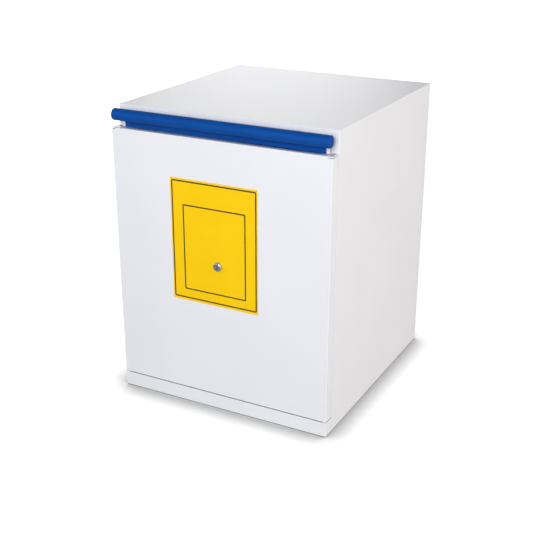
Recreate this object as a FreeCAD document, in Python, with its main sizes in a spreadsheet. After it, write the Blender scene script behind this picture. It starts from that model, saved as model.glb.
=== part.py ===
"""Reagent drawer cabinet for under a laboratory bench, in millimetres.

+Z is up, the front faces -Y and +X is to the right. The origin lies on the floor, under the
middle of the cabinet's outer box. Depths are measured back from the front plane of the drawer
front, and every piece is then placed so that this plane lies at its own place in the frame.
"""
import FreeCAD, Part
import math
import os
import Sketcher

DRIVING_SIZES = {
    # Casing
    "cabinet_width": 560, "cabinet_depth": 600, "cabinet_height": 720,
    "sheet": 1.5, "bend_radius": 1.2, "hole_fit": 0.2, "side_return": 22, "floor_clearance": 2,
    "lintel_height": 65, "lintel_flange": 42, "lintel_lip": 16, "rear_drop": 20,
    "floor_level": 60, "floor_fold": 23,
    "plinth_height": 37, "plinth_back_fold": 20,
    "back_recess": 42, "back_fold": 20, "lining": 3, "lining_set_back": 2,
    # Air inlet and extraction spigot
    "inlet_slot_width": 6, "inlet_slot_height": 50, "inlet_slot_pitch": 16, "inlet_above_floor": 22,
    "vent_drop": 90, "spigot_diameter": 75, "spigot_wall": 3, "spigot_flange": 100,
    "spigot_flange_thickness": 3.5, "spigot_end_gap": 2,
    # Feet
    "foot_bracket_width": 50, "foot_bracket_depth": 50, "foot_bracket_drop": 30,
    "foot_bracket_plate": 3, "foot_bracket_edge": 10, "foot_pad_width": 38,
    "foot_pad_height": 8, "foot_spindle_diameter": 10,
    "foot_nut_width": 17, "foot_nut_height": 5, "foot_spindle_past": 12,
    # Drawer front
    "front_thickness": 30, "front_gap": 3, "plinth_gap": 2.5, "front_top_drop": 49,
    "front_flange": 40, "front_lining": 3, "front_lining_gap": 6,
    "gasket_width": 10, "gasket_gap": 0.3, "gasket_set_back": 2,
    # Grip
    "grip_diameter": 28, "grip_wall": 2, "grip_set_back": 5, "grip_rise": 30.5,
    "grip_end_gap": 5.5, "grip_cap_flange": 2, "grip_cap_plug": 10, "grip_cap_fit": 0.1,
    "grip_leg_set_back": 20, "grip_leg_thickness": 7, "grip_leg_end_gap": 24.5,
    "grip_leg_leaf": 2.55, "grip_leg_clear": 3, "grip_neck": 9, "grip_neck_bite": 3,
    "upstand_height": 24, "upstand_end_gap": 17, "upstand_foot": 5.2, "upstand_fit": 0.25,
    # Telescopic roller slides
    "slide_length": 450, "slide_start": 40, "slide_level": 105, "slide_thickness": 12.7,
    "slide_height": 45.7, "slide_gauge": 1.2, "slide_flange_free": 3.2, "slide_lip": 1.2,
    "slide_web_gap": 1.2, "slide_tip_gap": 1.7, "roller_diameter": 3.2, "roller_length": 3.2,
    "roller_play": 0.15, "roller_end": 10,
    "cage_length": 200, "cage_gauge": 0.6, "cage_strip": 1, "cage_web_gap": 0.3,
    "cage_edge": 0.7, "cage_pocket_play": 0.1,
    "rail_height": 60,
    # Carriage and trays
    "carriage_flange": 25, "carriage_bottom_gap": 6, "carriage_height": 300,
    "carriage_length": 447, "window_front": 40, "window_width": 170, "window_gap": 26,
    "window_rise": 74, "window_height": 210, "window_slant": 12, "window_radius": 10,
    "carriage_back_height": 54, "carriage_back_fold": 15,
    "tray_wall": 4, "tray_side_gap": 1, "tray_end_gap": 2, "tray_front_gap": 15,
    "tray_corner_radius": 16, "tray_lower_height": 60,
    "tray_upper_height": 60, "tray_rib_width": 6, "tray_rib_height": 3, "tray_rib_pitch": 40,
    "tray_rib_margin": 26,
    # Lock
    "lock_level": 376, "lock_head_diameter": 22, "lock_proud": 8.5, "lock_head_bevel": 1.5,
    "lock_barrel_diameter": 19, "lock_barrel_length": 24, "lock_plug_diameter": 13,
    "lock_running_fit": 0.1, "lock_plug_recess": 0.6, "keyway_width": 2, "keyway_height": 8,
    "keyway_depth": 7, "lock_nut_width": 26, "lock_nut_thickness": 5,
    "spindle_width": 6, "spindle_hole": 12, "spindle_fit": 0.1, "spindle_end_gap": 1.5,
    "lock_case_width": 60, "lock_case_height": 72, "lock_base_plate": 2, "lock_case_depth": 9,
    "lock_case_wall": 1.5, "pinion_gap": 0.5, "pinion_width": 5.5, "pinion_pin_diameter": 6,
    "pinion_pin_past": 1.5, "gear_module": 1.5, "gear_backlash": 0.3,
    "rod_width": 13, "rod_thickness": 4, "rod_back_gap": 1.2, "rod_guide_fit": 0.3,
    "rod_end_gap": 5, "rod_end_chamfer": 2,
    "guide_wall": 4, "guide_height": 16, "guide_from_end": 50,
    "keeper_plate": 2, "keeper_width": 50, "keeper_slot_fit": 1, "keeper_slot_long_fit": 1.5,
    # Every cut runs this far past the face that it opens
    "overrun": 1,
}
PINION_TEETH = 12
RACK_TEETH_AHEAD = 1
RACK_TEETH_BEHIND = 4
ROLLERS_IN_A_ROW = 2
INLET_SLOTS = 9
TRAY_RIBS = 10
PRESSURE_ANGLE = math.radians(25)
ADDENDUM_SHARE = 0.9
DEDENDUM_SHARE = 1.1
FLANK_SHARES = (0.0, 0.5, 1.0)
ALIGNED_SHARE = 0.999
CLOSE = 1e-4
NUT_SIDES = 6
RIGHT, LEFT = 1, -1
SIDES = {"right": RIGHT, "left": LEFT}
PLANE_ACROSS = {"X": "YZ_Plane", "Y": "XZ_Plane", "Z": "XY_Plane"}


class Size:
    """A length that knows its number and the spreadsheet formula that gives it."""

    def __init__(self, number, formula):
        self.number, self.formula = number, formula

    def __add__(self, other):
        return Size(self.number + number(other), f"({self.formula} + {formula(other)})")

    def __sub__(self, other):
        return Size(self.number - number(other), f"({self.formula} - {formula(other)})")

    def __rsub__(self, other):
        return Size(number(other) - self.number, f"({formula(other)} - {self.formula})")

    def __mul__(self, factor):
        return Size(self.number * factor, f"({self.formula} * {factor})")

    def __truediv__(self, factor):
        return Size(self.number / factor, f"({self.formula} / {factor})")

    def __neg__(self):
        return Size(-self.number, f"(-{self.formula})")

    __rmul__ = __mul__
    __radd__ = __add__


def number(size):
    """The number of a size, or a plain number itself."""
    return size.number if isinstance(size, Size) else size


def formula(size):
    """The formula of a size, or a plain number as text."""
    return size.formula if isinstance(size, Size) else str(size)


class Sizes:
    """The driving sizes by name, each tied to its cell."""

    def __init__(self, sheet, table):
        for row, (name, value) in enumerate(table.items(), start=1):
            sheet.set(f"A{row}", name)
            sheet.set(f"B{row}", str(value))
            sheet.setAlias(f"B{row}", name)
            setattr(self, name, Size(value, f"{sheet.Name}.{name}"))


doc = FreeCAD.newDocument("ReagentDrawerCabinet")
sheet = doc.addObject("Spreadsheet::Sheet", "dims")
d = Sizes(sheet, DRIVING_SIZES)
doc.recompute()

# Planes and faces that several pieces share
half_width = d.cabinet_width / 2
inner_half = half_width - d.side_return
case_front = d.front_thickness + d.front_gap
top_under = d.cabinet_height - d.sheet
lintel_under = d.cabinet_height - d.lintel_height
back_front = d.cabinet_depth - d.back_recess
floor_under = d.floor_level - d.sheet
front_bottom = d.plinth_height + d.plinth_gap
front_top = d.cabinet_height - d.front_top_drop
liner_face = d.front_thickness + d.front_lining
slide_face = inner_half - d.lining
carriage_face = slide_face - d.slide_thickness
carriage_inside = carriage_face - d.sheet
carriage_bottom = d.floor_level + d.carriage_bottom_gap
carriage_top = carriage_bottom + d.carriage_height
carriage_rear = liner_face + d.carriage_length
vent_level = d.cabinet_height - d.vent_drop
grip_radius = d.grip_diameter / 2
grip_proud = grip_radius - d.grip_set_back
grip_level = front_top + d.grip_rise
front_plane = (grip_proud - d.cabinet_depth) / 2

made = []


def bind(item, **sizes):
    """Ties properties of an object to the formulas of sizes."""
    for name, size in sizes.items():
        item.setExpression(name.replace("_", "."), formula(size))


def seat(item, label, across=0, level=0):
    """Names a finished piece and places it, back from the cabinet's front plane."""
    item.Label = label
    bind(item, Placement_Base_x=across, Placement_Base_y=front_plane, Placement_Base_z=level)
    made.append(item)
    return item


def new_body(label):
    """An empty body, named after its piece."""
    return doc.addObject("PartDesign::Body", label + "_body")


def plane_sketch(body, axis, level):
    """An empty sketch square to an axis, at a level along it."""
    sketch = body.newObject("Sketcher::SketchObject", "Outline")
    role = PLANE_ACROSS[axis]
    sketch.AttachmentSupport = [(next(f for f in body.Origin.OriginFeatures if f.Role == role), "")]
    sketch.MapMode = "FlatFace"
    bind(sketch, AttachmentOffset_Base_z=level * (-1 if axis == "Y" else 1))
    return sketch


def tie_point(sketch, curve, point, across, up):
    """Ties one point of a sketch curve to two sizes."""
    for kind, size in (("DistanceX", across), ("DistanceY", up)):
        tie = Sketcher.Constraint(kind, -1, 1, curve, point, float(number(size)))
        sketch.setExpression(f"Constraints[{sketch.addConstraint(tie)}]", formula(size))


def draw_outline(sketch, corners):
    """Draws a closed outline of straight lines through corners."""
    first = sketch.GeometryCount
    points = [FreeCAD.Vector(number(across), number(up), 0) for across, up in corners]
    for here, there in zip(points, points[1:] + points[:1]):
        sketch.addGeometry(Part.LineSegment(here, there), False)
    count = len(corners)
    for index in range(count):
        after = first + (index + 1) % count
        sketch.addConstraint(Sketcher.Constraint("Coincident", first + index, 2, after, 1))
    for index, (across, up) in enumerate(corners):
        tie_point(sketch, first + index, 1, across, up)


def draw_circle(sketch, across, up, diameter):
    """Draws a circle about a point."""
    centre = FreeCAD.Vector(number(across), number(up), 0)
    curve = sketch.addGeometry(Part.Circle(centre, FreeCAD.Vector(0, 0, 1), number(diameter) / 2))
    size = sketch.addConstraint(Sketcher.Constraint("Diameter", curve, number(diameter)))
    sketch.setExpression(f"Constraints[{size}]", formula(diameter))
    tie_point(sketch, curve, 3, across, up)


def rectangle(left, bottom, right, top):
    """The corners of an upright rectangle."""
    return [(left, bottom), (right, bottom), (right, top), (left, top)]


def draw(sketch, shape):
    """Draws a list of corners, or a circle given as (across, up, diameter)."""
    if isinstance(shape, tuple):
        draw_circle(sketch, *shape)
    else:
        draw_outline(sketch, shape)


def pad(body, axis, level, length, *shapes):
    """Adds a prism from a level forward along the axis, or back for a LEFT-signed length."""
    sketch = plane_sketch(body, axis, level)
    for shape in shapes:
        draw(sketch, shape)
    feature = body.newObject("PartDesign::Pad", "Pad")
    feature.Profile = sketch
    feature.Reversed = axis == "Y"
    bind(feature, Length=length)
    return feature


def pocket(body, axis, level, length, *shapes):
    """Cuts a prism from a level forward along the axis."""
    sketch = plane_sketch(body, axis, level)
    for shape in shapes:
        draw(sketch, shape)
    feature = body.newObject("PartDesign::Pocket", "Pocket")
    feature.Profile = sketch
    feature.Reversed = axis != "Y"
    bind(feature, Length=length)
    return feature


def turn(body, axis, corners):
    """Turns a profile of (along, radius) corners round the Y or Z axis."""
    drawn = corners if axis == "Y" else [(radius, along) for along, radius in corners]
    sketch = plane_sketch(body, "X" if axis == "Y" else "Y", 0)
    draw_outline(sketch, drawn)
    feature = body.newObject("PartDesign::Revolution", "Turn")
    feature.Profile = sketch
    feature.ReferenceAxis = (sketch, ["H_Axis" if axis == "Y" else "V_Axis"])
    feature.Angle = 360
    return feature


def repeat(body, feature, direction, pitch, count):
    """Repeats a feature in a straight row."""
    pattern = body.newObject("PartDesign::LinearPattern", "Row")
    pattern.Originals = [feature]
    pattern.Direction = (feature.Profile[0], [direction])
    pattern.Occurrences = count
    bind(pattern, Length=pitch * (count - 1))
    body.Tip = pattern
    return pattern


def is_along(edge, axis):
    """Whether an edge is straight and runs along an axis."""
    if not isinstance(edge.Curve, Part.Line):
        return False
    direction = edge.Curve.Direction
    return abs(getattr(direction, axis.lower())) > ALIGNED_SHARE


def round_edges(body, radius, pick):
    """Rounds the edges of a body that pick says yes to."""
    doc.recompute()
    base = body.Tip
    names = [f"Edge{index}" for index, edge in enumerate(base.Shape.Edges, start=1) if pick(edge)]
    feature = body.newObject("PartDesign::Fillet", "Round")
    feature.Base = (base, names)
    bind(feature, Radius=radius)
    return feature


def lies_at(shape, **places):
    """Whether all of an edge or face lies at the given places, such as y=0."""
    box = shape.BoundBox
    spans = {"x": (box.XMin, box.XMax), "y": (box.YMin, box.YMax), "z": (box.ZMin, box.ZMax)}
    return all(abs(end - number(place)) < CLOSE
               for name, place in places.items() for end in spans[name])


def hexagon(width, across=0, up=0):
    """The corners of a six-sided nut by its width across flats."""
    reach = width / math.sqrt(3)
    angles = [math.tau / NUT_SIDES * index for index in range(NUT_SIDES)]
    return [(across + reach * round(math.sin(angle), 9), up + reach * round(math.cos(angle), 9))
            for angle in angles]


def mirrored(side, near, far):
    """The lower and higher x of a span that starts at near and ends at far, on one side."""
    return (near, far) if side == RIGHT else (-far, -near)


# Casing

def make_side_panel(name, side):
    """A folded pan with its skin outside, and a toe that closes the plinth's end."""
    body = new_body(f"side_panel_{name}")
    low, high = mirrored(side, inner_half, half_width)
    pad(body, "X", low, high - low, [
        (case_front, top_under), (d.cabinet_depth, top_under),
        (d.cabinet_depth, d.floor_clearance), (d.sheet, d.floor_clearance),
        (d.sheet, d.plinth_height), (case_front, d.plinth_height)])
    low, high = mirrored(side, inner_half - d.overrun, half_width - d.sheet)
    pocket(body, "X", low, high - low, [
        (case_front + d.sheet, top_under - d.sheet),
        (d.cabinet_depth - d.sheet, top_under - d.sheet),
        (d.cabinet_depth - d.sheet, d.floor_clearance + d.sheet),
        (-d.overrun, d.floor_clearance + d.sheet),
        (-d.overrun, d.plinth_height - d.sheet),
        (case_front + d.sheet, d.plinth_height - d.sheet)])
    outer = half_width * side
    round_edges(body, d.bend_radius, lambda edge: is_along(edge, "Z") and (
        lies_at(edge, x=outer, y=case_front) or lies_at(edge, x=outer, y=d.cabinet_depth)))
    return seat(body, f"side_panel_{name}")


def make_top_panel():
    """The top sheet with the front lintel, its slotted lower flange and a rear fold."""
    body = new_body("top_panel")
    flange_back = case_front + d.lintel_flange
    pad(body, "X", -inner_half, inner_half * 2, [
        (case_front, top_under), (case_front, lintel_under), (flange_back, lintel_under),
        (flange_back, lintel_under + d.lintel_lip),
        (flange_back - d.sheet, lintel_under + d.lintel_lip),
        (flange_back - d.sheet, lintel_under + d.sheet),
        (case_front + d.sheet, lintel_under + d.sheet), (case_front + d.sheet, top_under)])
    pad(body, "Z", top_under, d.sheet, rectangle(-half_width, case_front, half_width, d.cabinet_depth))
    pad(body, "X", -inner_half, inner_half * 2, rectangle(
        d.cabinet_depth - d.sheet, top_under - d.rear_drop, d.cabinet_depth, top_under))
    pocket(body, "Z", lintel_under - d.overrun, d.sheet + d.overrun * 2, keeper_slot(RIGHT))
    round_edges(body, d.bend_radius, lambda edge: not lies_at(edge, y=case_front + d.sheet) and (
        lies_at(edge, z=d.cabinet_height)))
    return seat(body, "top_panel")


def make_floor_panel():
    """The folded floor, which stands on the plinth's top and the foot brackets."""
    body = new_body("floor_panel")
    rear = back_front + d.back_fold
    fold_bottom = d.floor_level - d.floor_fold
    pad(body, "Z", fold_bottom, d.floor_fold, rectangle(-inner_half, case_front, inner_half, rear))
    pocket(body, "Z", fold_bottom - d.overrun, d.floor_fold - d.sheet + d.overrun, rectangle(
        d.sheet - inner_half, case_front + d.sheet, inner_half - d.sheet, rear - d.sheet))
    pocket(body, "Z", floor_under - d.overrun, d.sheet + d.overrun * 2, keeper_slot(LEFT))
    return seat(body, "floor_panel")


def make_plinth_front():
    """The folded plinth: a front across the whole width, a top flange and a back fold."""
    body = new_body("plinth_front")
    fold_bottom = d.plinth_height - d.plinth_back_fold
    pad(body, "X", -inner_half, inner_half * 2, [
        (0, d.floor_clearance), (0, d.plinth_height), (case_front, d.plinth_height),
        (case_front, fold_bottom), (case_front - d.sheet, fold_bottom),
        (case_front - d.sheet, d.plinth_height - d.sheet),
        (d.sheet, d.plinth_height - d.sheet), (d.sheet, d.floor_clearance)])
    pad(body, "Y", 0, d.sheet, rectangle(
        -half_width, d.floor_clearance, half_width, d.plinth_height))
    round_edges(body, d.bend_radius, lambda edge: lies_at(edge, y=0, z=d.plinth_height) or (
        is_along(edge, "Z") and (
            lies_at(edge, x=half_width, y=0) or lies_at(edge, x=-half_width, y=0))))
    return seat(body, "plinth_front")


def cut_air_holes(body, level, depth):
    """Cuts the round vent hole and the row of inlet slots through a back sheet."""
    pocket(body, "Y", level - d.overrun, depth + d.overrun * 2, (0, vent_level, d.spigot_diameter))
    bottom = d.floor_level + d.inlet_above_floor
    row = d.inlet_slot_pitch * (INLET_SLOTS - 1)
    start = -row / 2 - d.inlet_slot_width / 2
    slot = pocket(body, "Y", level - d.overrun, depth + d.overrun * 2, rectangle(
        start, bottom, start + d.inlet_slot_width, bottom + d.inlet_slot_height))
    repeat(body, slot, "H_Axis", d.inlet_slot_pitch, INLET_SLOTS)


def make_back_panel():
    """The recessed back, a folded tray that opens to the rear."""
    body = new_body("back_panel")
    pad(body, "Y", back_front, d.back_fold, rectangle(
        -inner_half, d.floor_level, inner_half, top_under))
    pocket(body, "Y", back_front + d.sheet, d.back_fold, rectangle(
        d.sheet - inner_half, d.floor_level + d.sheet, inner_half - d.sheet, top_under - d.sheet))
    cut_air_holes(body, back_front, d.sheet)
    return seat(body, "back_panel")


def make_back_lining():
    """The lining before the back, with the same air holes."""
    body = new_body("liner_back")
    front = back_front - d.lining
    pad(body, "Y", front, d.lining, rectangle(
        -slide_face, d.floor_level, slide_face, top_under))
    cut_air_holes(body, front, d.lining)
    return seat(body, "liner_back")


def make_side_lining(name, side):
    """A wall lining, notched round the lintel's flange."""
    body = new_body(f"liner_{name}")
    low, high = mirrored(side, slide_face, inner_half)
    front = case_front + d.lining_set_back
    behind_lintel = case_front + d.lintel_flange + d.lining_set_back
    under_lintel = lintel_under - d.lining_set_back
    pad(body, "X", low, high - low, [
        (front, d.floor_level), (back_front, d.floor_level), (back_front, top_under),
        (behind_lintel, top_under), (behind_lintel, under_lintel), (front, under_lintel)])
    return seat(body, f"liner_{name}")


def make_slide_rail(name, side):
    """A channel inside the side pan, which the slide is screwed to through the lining."""
    body = new_body(f"slide_rail_{name}")
    inner, outer = inner_half * side, (half_width - d.sheet) * side
    web = (inner_half + d.sheet) * side
    bottom, top = d.slide_level - d.rail_height / 2, d.slide_level + d.rail_height / 2
    start = case_front + d.sheet
    pad(body, "Y", start, back_front - start, [
        (outer, bottom), (inner, bottom), (inner, top), (outer, top),
        (outer, top - d.sheet), (web, top - d.sheet), (web, bottom + d.sheet),
        (outer, bottom + d.sheet)])
    return seat(body, f"slide_rail_{name}")


def make_vent_collar():
    """The spigot that an extraction duct is pushed over, its flange outside the back."""
    body = new_body("vent_collar")
    start = back_front + d.sheet
    flange_back, end = start + d.spigot_flange_thickness, d.cabinet_depth - d.spigot_end_gap
    outer, inner = d.spigot_diameter / 2, d.spigot_diameter / 2 - d.spigot_wall
    turn(body, "Y", [(start, inner), (start, d.spigot_flange / 2), (flange_back, d.spigot_flange / 2),
                     (flange_back, outer), (end, outer), (end, inner)])
    return seat(body, "vent_collar", level=vent_level)


# Feet

foot_across = inner_half - d.sheet - d.foot_bracket_width / 2
foot_rows = {"front": case_front + d.foot_bracket_edge + d.foot_bracket_depth / 2,
             "rear": back_front + d.back_fold - d.foot_bracket_edge - d.foot_bracket_depth / 2}
bracket_foot = floor_under - d.foot_bracket_drop


def make_foot_bracket(name, side, row):
    """A folded bracket under the floor that takes the foot's spindle."""
    body = new_body(f"foot_bracket_{name}")
    far, near = foot_across + d.foot_bracket_width / 2, foot_across - d.foot_bracket_width / 2
    web = far - d.foot_bracket_plate
    start = foot_rows[row] - d.foot_bracket_depth / 2
    pad(body, "Y", start, d.foot_bracket_depth, [
        (near * side, floor_under), (far * side, floor_under), (far * side, bracket_foot),
        (near * side, bracket_foot), (near * side, bracket_foot + d.foot_bracket_plate),
        (web * side, bracket_foot + d.foot_bracket_plate),
        (web * side, floor_under - d.foot_bracket_plate),
        (near * side, floor_under - d.foot_bracket_plate)])
    pocket(body, "Z", bracket_foot - d.overrun, d.foot_bracket_plate + d.overrun * 2, (
        foot_across * side, foot_rows[row], d.foot_spindle_diameter + d.hole_fit * 2))
    return seat(body, f"foot_bracket_{name}")


def make_levelling_foot(name, side, row):
    """A six-sided pad on a threaded spindle, with the nut that the bracket rests on."""
    body = new_body(f"levelling_foot_{name}")
    top = bracket_foot + d.foot_bracket_plate + d.foot_spindle_past
    pad(body, "Z", 0, d.foot_pad_height, hexagon(d.foot_pad_width))
    pad(body, "Z", d.foot_pad_height, top - d.foot_pad_height, (0, 0, d.foot_spindle_diameter))
    pad(body, "Z", bracket_foot - d.foot_nut_height, d.foot_nut_height, hexagon(d.foot_nut_width))
    foot = seat(body, f"levelling_foot_{name}", across=foot_across * side)
    bind(foot, Placement_Base_y=front_plane + foot_rows[row])
    return foot


# Rod lock: places that the rods, guides and keepers share

pitch_radius = d.gear_module * PINION_TEETH / 2
tooth_pitch = d.gear_module * math.pi
addendum, dedendum = d.gear_module * ADDENDUM_SHARE, d.gear_module * DEDENDUM_SHARE
rod_near = pitch_radius + dedendum
rod_far = rod_near + d.rod_width
base_back = liner_face + d.lock_base_plate
rod_front = base_back + d.rod_back_gap
rod_rear = rod_front + d.rod_thickness
case_back = base_back + d.lock_case_depth
spindle_end = base_back + d.pinion_gap + d.pinion_width - d.spindle_end_gap
rod_ends = {RIGHT: lintel_under - d.rod_end_gap, LEFT: d.floor_level + d.rod_end_gap}


def rod_window(side, across_fit, along_fit):
    """The opening that a rod passes through, seen from above."""
    low, high = mirrored(side, rod_near - across_fit, rod_far + across_fit)
    return rectangle(low, rod_front - along_fit, high, rod_rear + along_fit)


def keeper_slot(side):
    """The slot that a rod's end is caught in."""
    return rod_window(side, d.keeper_slot_long_fit, d.keeper_slot_fit)


def make_keeper(name, side, level):
    """A plate with the slot that catches a rod's end."""
    body = new_body(f"keeper_{name}")
    middle = (rod_near + rod_far) / 2 * side
    front = case_front + d.sheet
    pad(body, "Z", level, d.keeper_plate, rectangle(
        middle - d.keeper_width / 2, front,
        middle + d.keeper_width / 2, case_front + d.lintel_flange - d.sheet))
    pocket(body, "Z", level - d.overrun, d.keeper_plate + d.overrun * 2, keeper_slot(side))
    return seat(body, f"keeper_{name}")


def gear_space(radius, tip, root, backlash, level):
    """One tooth space of the pinion about +X, its flanks arcs through three involute points."""
    base = radius * math.cos(PRESSURE_ANGLE)
    tooth = (2 * math.pi * radius / PINION_TEETH - backlash) / 2
    involute = math.tan(PRESSURE_ANGLE) - PRESSURE_ANGLE

    def flank_point(share, sign):
        at = base + (tip - base) * share
        unwound = math.acos(base / at)
        half_tooth = tooth / 2 / radius + involute - (math.tan(unwound) - unwound)
        angle = sign * (math.pi / PINION_TEETH - half_tooth)
        return FreeCAD.Vector(at * math.cos(angle), level, at * math.sin(angle))

    lower = [flank_point(share, -1) for share in FLANK_SHARES]
    upper = [flank_point(share, 1) for share in FLANK_SHARES]
    axis_point = FreeCAD.Vector(0, level, 0)
    low_root, high_root = (axis_point + (flank[0] - axis_point) * (root / base)
                           for flank in (lower, upper))
    edges = [Part.LineSegment(low_root, lower[0]), Part.Arc(*lower),
             Part.LineSegment(lower[-1], upper[-1]), Part.Arc(*reversed(upper)),
             Part.LineSegment(upper[0], high_root),
             Part.Arc(high_root, FreeCAD.Vector(root, level, 0), low_root)]
    return Part.Face(Part.Wire([edge.toShape() for edge in edges]))


def make_pinion():
    """The toothed wheel on the plug's square spindle, with a pin that the cover carries."""
    start = number(base_back + d.pinion_gap)
    width, back = number(d.pinion_width), number(case_back + d.pinion_pin_past)
    radius = number(pitch_radius)
    tip, root = radius + number(addendum), radius - number(dedendum)
    along = FreeCAD.Vector(0, 1, 0)
    wheel = Part.makeCylinder(tip, width, along * start, along)
    space = gear_space(radius, tip + number(d.overrun), root, number(d.gear_backlash), start)
    cutter = space.extrude(along * width)
    for index in range(PINION_TEETH):
        wheel = wheel.cut(cutter.rotated(FreeCAD.Vector(), along, 360 / PINION_TEETH * index))
    pin = Part.makeCylinder(number(d.pinion_pin_diameter) / 2, back - start - width,
                            along * (start + width), along)
    square, depth = number(d.spindle_width + d.spindle_fit * 2), number(spindle_end) - start
    socket = Part.makeBox(square, depth + number(d.spindle_fit), square,
                          FreeCAD.Vector(-square / 2, start, -square / 2))
    piece = doc.addObject("Part::Feature", "lock_pinion_wheel")
    piece.Shape = wheel.fuse(pin).cut(socket).removeSplitter()
    return seat(piece, "lock_pinion", level=d.lock_level)


def make_lock_rod(name, side):
    """A flat rod with a rack beside the pinion and a bevelled end for its keeper."""
    body = new_body(f"lock_rod_{name}")
    rack_face = pitch_radius - addendum
    behind = tooth_pitch * (RACK_TEETH_BEHIND + 1) + d.gear_module
    ahead = tooth_pitch * (RACK_TEETH_AHEAD + 1) + d.gear_module
    tail = d.lock_level - behind * side
    rack_end = d.lock_level + ahead * side
    end = rod_ends[side]
    cut_end = end - d.rod_end_chamfer * side
    pad(body, "Y", rod_front, d.rod_thickness, [
        (rack_face * side, tail), (rod_far * side, tail), (rod_far * side, cut_end),
        ((rod_far - d.rod_end_chamfer) * side, end), ((rod_near + d.rod_end_chamfer) * side, end),
        (rod_near * side, cut_end), (rod_near * side, rack_end), (rack_face * side, rack_end)])
    middle = d.lock_level - tooth_pitch * (RACK_TEETH_BEHIND + 0.5) * side
    half_space = (tooth_pitch + d.gear_backlash) / 4
    slope = math.tan(PRESSURE_ANGLE)
    open_at, root_at = rack_face - d.overrun, pitch_radius + dedendum
    wide = half_space + (pitch_radius - open_at) * slope
    narrow = half_space - dedendum * slope
    space = pocket(body, "Y", rod_front - d.overrun, d.rod_thickness + d.overrun * 2, [
        (open_at * side, middle - wide), (root_at * side, middle - narrow),
        (root_at * side, middle + narrow), (open_at * side, middle + wide)])
    count = RACK_TEETH_BEHIND + RACK_TEETH_AHEAD + 2
    row = repeat(body, space, "V_Axis", tooth_pitch, count)
    row.Reversed = side == LEFT
    return seat(body, f"lock_rod_{name}")


def make_rod_guide(name, side):
    """A nylon block with the slot that a rod runs in."""
    body = new_body(f"rod_guide_{name}")
    level = rod_ends[side] - d.guide_from_end * side - d.guide_height / 2
    low, high = mirrored(side, rod_near - d.guide_wall, rod_far + d.guide_wall)
    pad(body, "Z", level, d.guide_height, rectangle(low, liner_face, high, rod_rear + d.guide_wall))
    pocket(body, "Z", level - d.overrun, d.guide_height + d.overrun * 2,
           rod_window(side, d.rod_guide_fit, d.rod_guide_fit))
    return seat(body, f"rod_guide_{name}")


def make_lock_base():
    """The plate behind the front that carries the rod drive."""
    body = new_body("lock_base")
    half = d.lock_case_width / 2
    pad(body, "Y", liner_face, d.lock_base_plate, rectangle(
        -half, d.lock_level - d.lock_case_height / 2, half, d.lock_level + d.lock_case_height / 2))
    pocket(body, "Y", liner_face - d.overrun, d.lock_base_plate + d.overrun * 2,
           (0, d.lock_level, d.spindle_hole))
    return seat(body, "lock_base")


def make_lock_cover():
    """The folded cover of the rod drive, open where the rods come out."""
    body = new_body("lock_cover")
    half, tall = d.lock_case_width / 2, d.lock_case_height / 2
    wall = d.lock_case_wall
    pad(body, "Y", base_back, d.lock_case_depth, rectangle(
        -half, d.lock_level - tall, half, d.lock_level + tall))
    pocket(body, "Y", base_back - d.overrun, d.lock_case_depth - wall + d.overrun, rectangle(
        wall - half, d.lock_level - tall + wall, half - wall, d.lock_level + tall - wall))
    for side in (RIGHT, LEFT):
        bottom = d.lock_level + tall * side - d.overrun - wall * (1 if side == RIGHT else 0)
        pocket(body, "Z", bottom, wall + d.overrun * 2,
               rod_window(side, d.rod_guide_fit, d.rod_guide_fit))
    pin_hole = d.pinion_pin_diameter + d.lock_running_fit * 2
    pocket(body, "Y", case_back - wall - d.overrun, wall + d.overrun * 2, (0, d.lock_level, pin_hole))
    round_edges(body, wall, lambda edge: is_along(edge, "Z") and (
        lies_at(edge, x=half, y=case_back) or lies_at(edge, x=-half, y=case_back)))
    return seat(body, "lock_cover")


def make_lock_housing():
    """The chrome head and barrel, bored for the plug."""
    body = new_body("lock_housing")
    head, barrel = d.lock_head_diameter / 2, d.lock_barrel_diameter / 2
    bore = d.lock_plug_diameter / 2 + d.lock_running_fit
    turn(body, "Y", [
        (-d.lock_proud, bore), (-d.lock_proud, head - d.lock_head_bevel),
        (d.lock_head_bevel - d.lock_proud, head), (0, head), (0, barrel),
        (d.lock_barrel_length, barrel), (d.lock_barrel_length, bore)])
    return seat(body, "lock_housing", level=d.lock_level)


def make_lock_plug():
    """The turning plug, with its keyway in front and a square spindle behind."""
    body = new_body("lock_plug")
    radius, square = d.lock_plug_diameter / 2, d.spindle_width / 2
    front = d.lock_plug_recess - d.lock_proud
    turn(body, "Y", [(front, 0), (front, radius), (d.lock_barrel_length, radius),
                     (d.lock_barrel_length, 0)])
    pad(body, "Y", d.lock_barrel_length, spindle_end - d.lock_barrel_length,
        rectangle(-square, -square, square, square))
    pocket(body, "Y", front - d.overrun, d.keyway_depth + d.overrun, rectangle(
        -d.keyway_width / 2, -d.keyway_height / 2, d.keyway_width / 2, d.keyway_height / 2))
    return seat(body, "lock_plug", level=d.lock_level)


def make_lock_nut():
    """The six-sided nut that holds the barrel behind the front's skin."""
    body = new_body("lock_nut")
    pad(body, "Y", d.sheet, d.lock_nut_thickness, hexagon(d.lock_nut_width))
    pocket(body, "Y", d.sheet - d.overrun, d.lock_nut_thickness + d.overrun * 2,
           (0, 0, d.lock_barrel_diameter + d.lock_running_fit * 2))
    return seat(body, "lock_nut", level=d.lock_level)


# Drawer front

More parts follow.
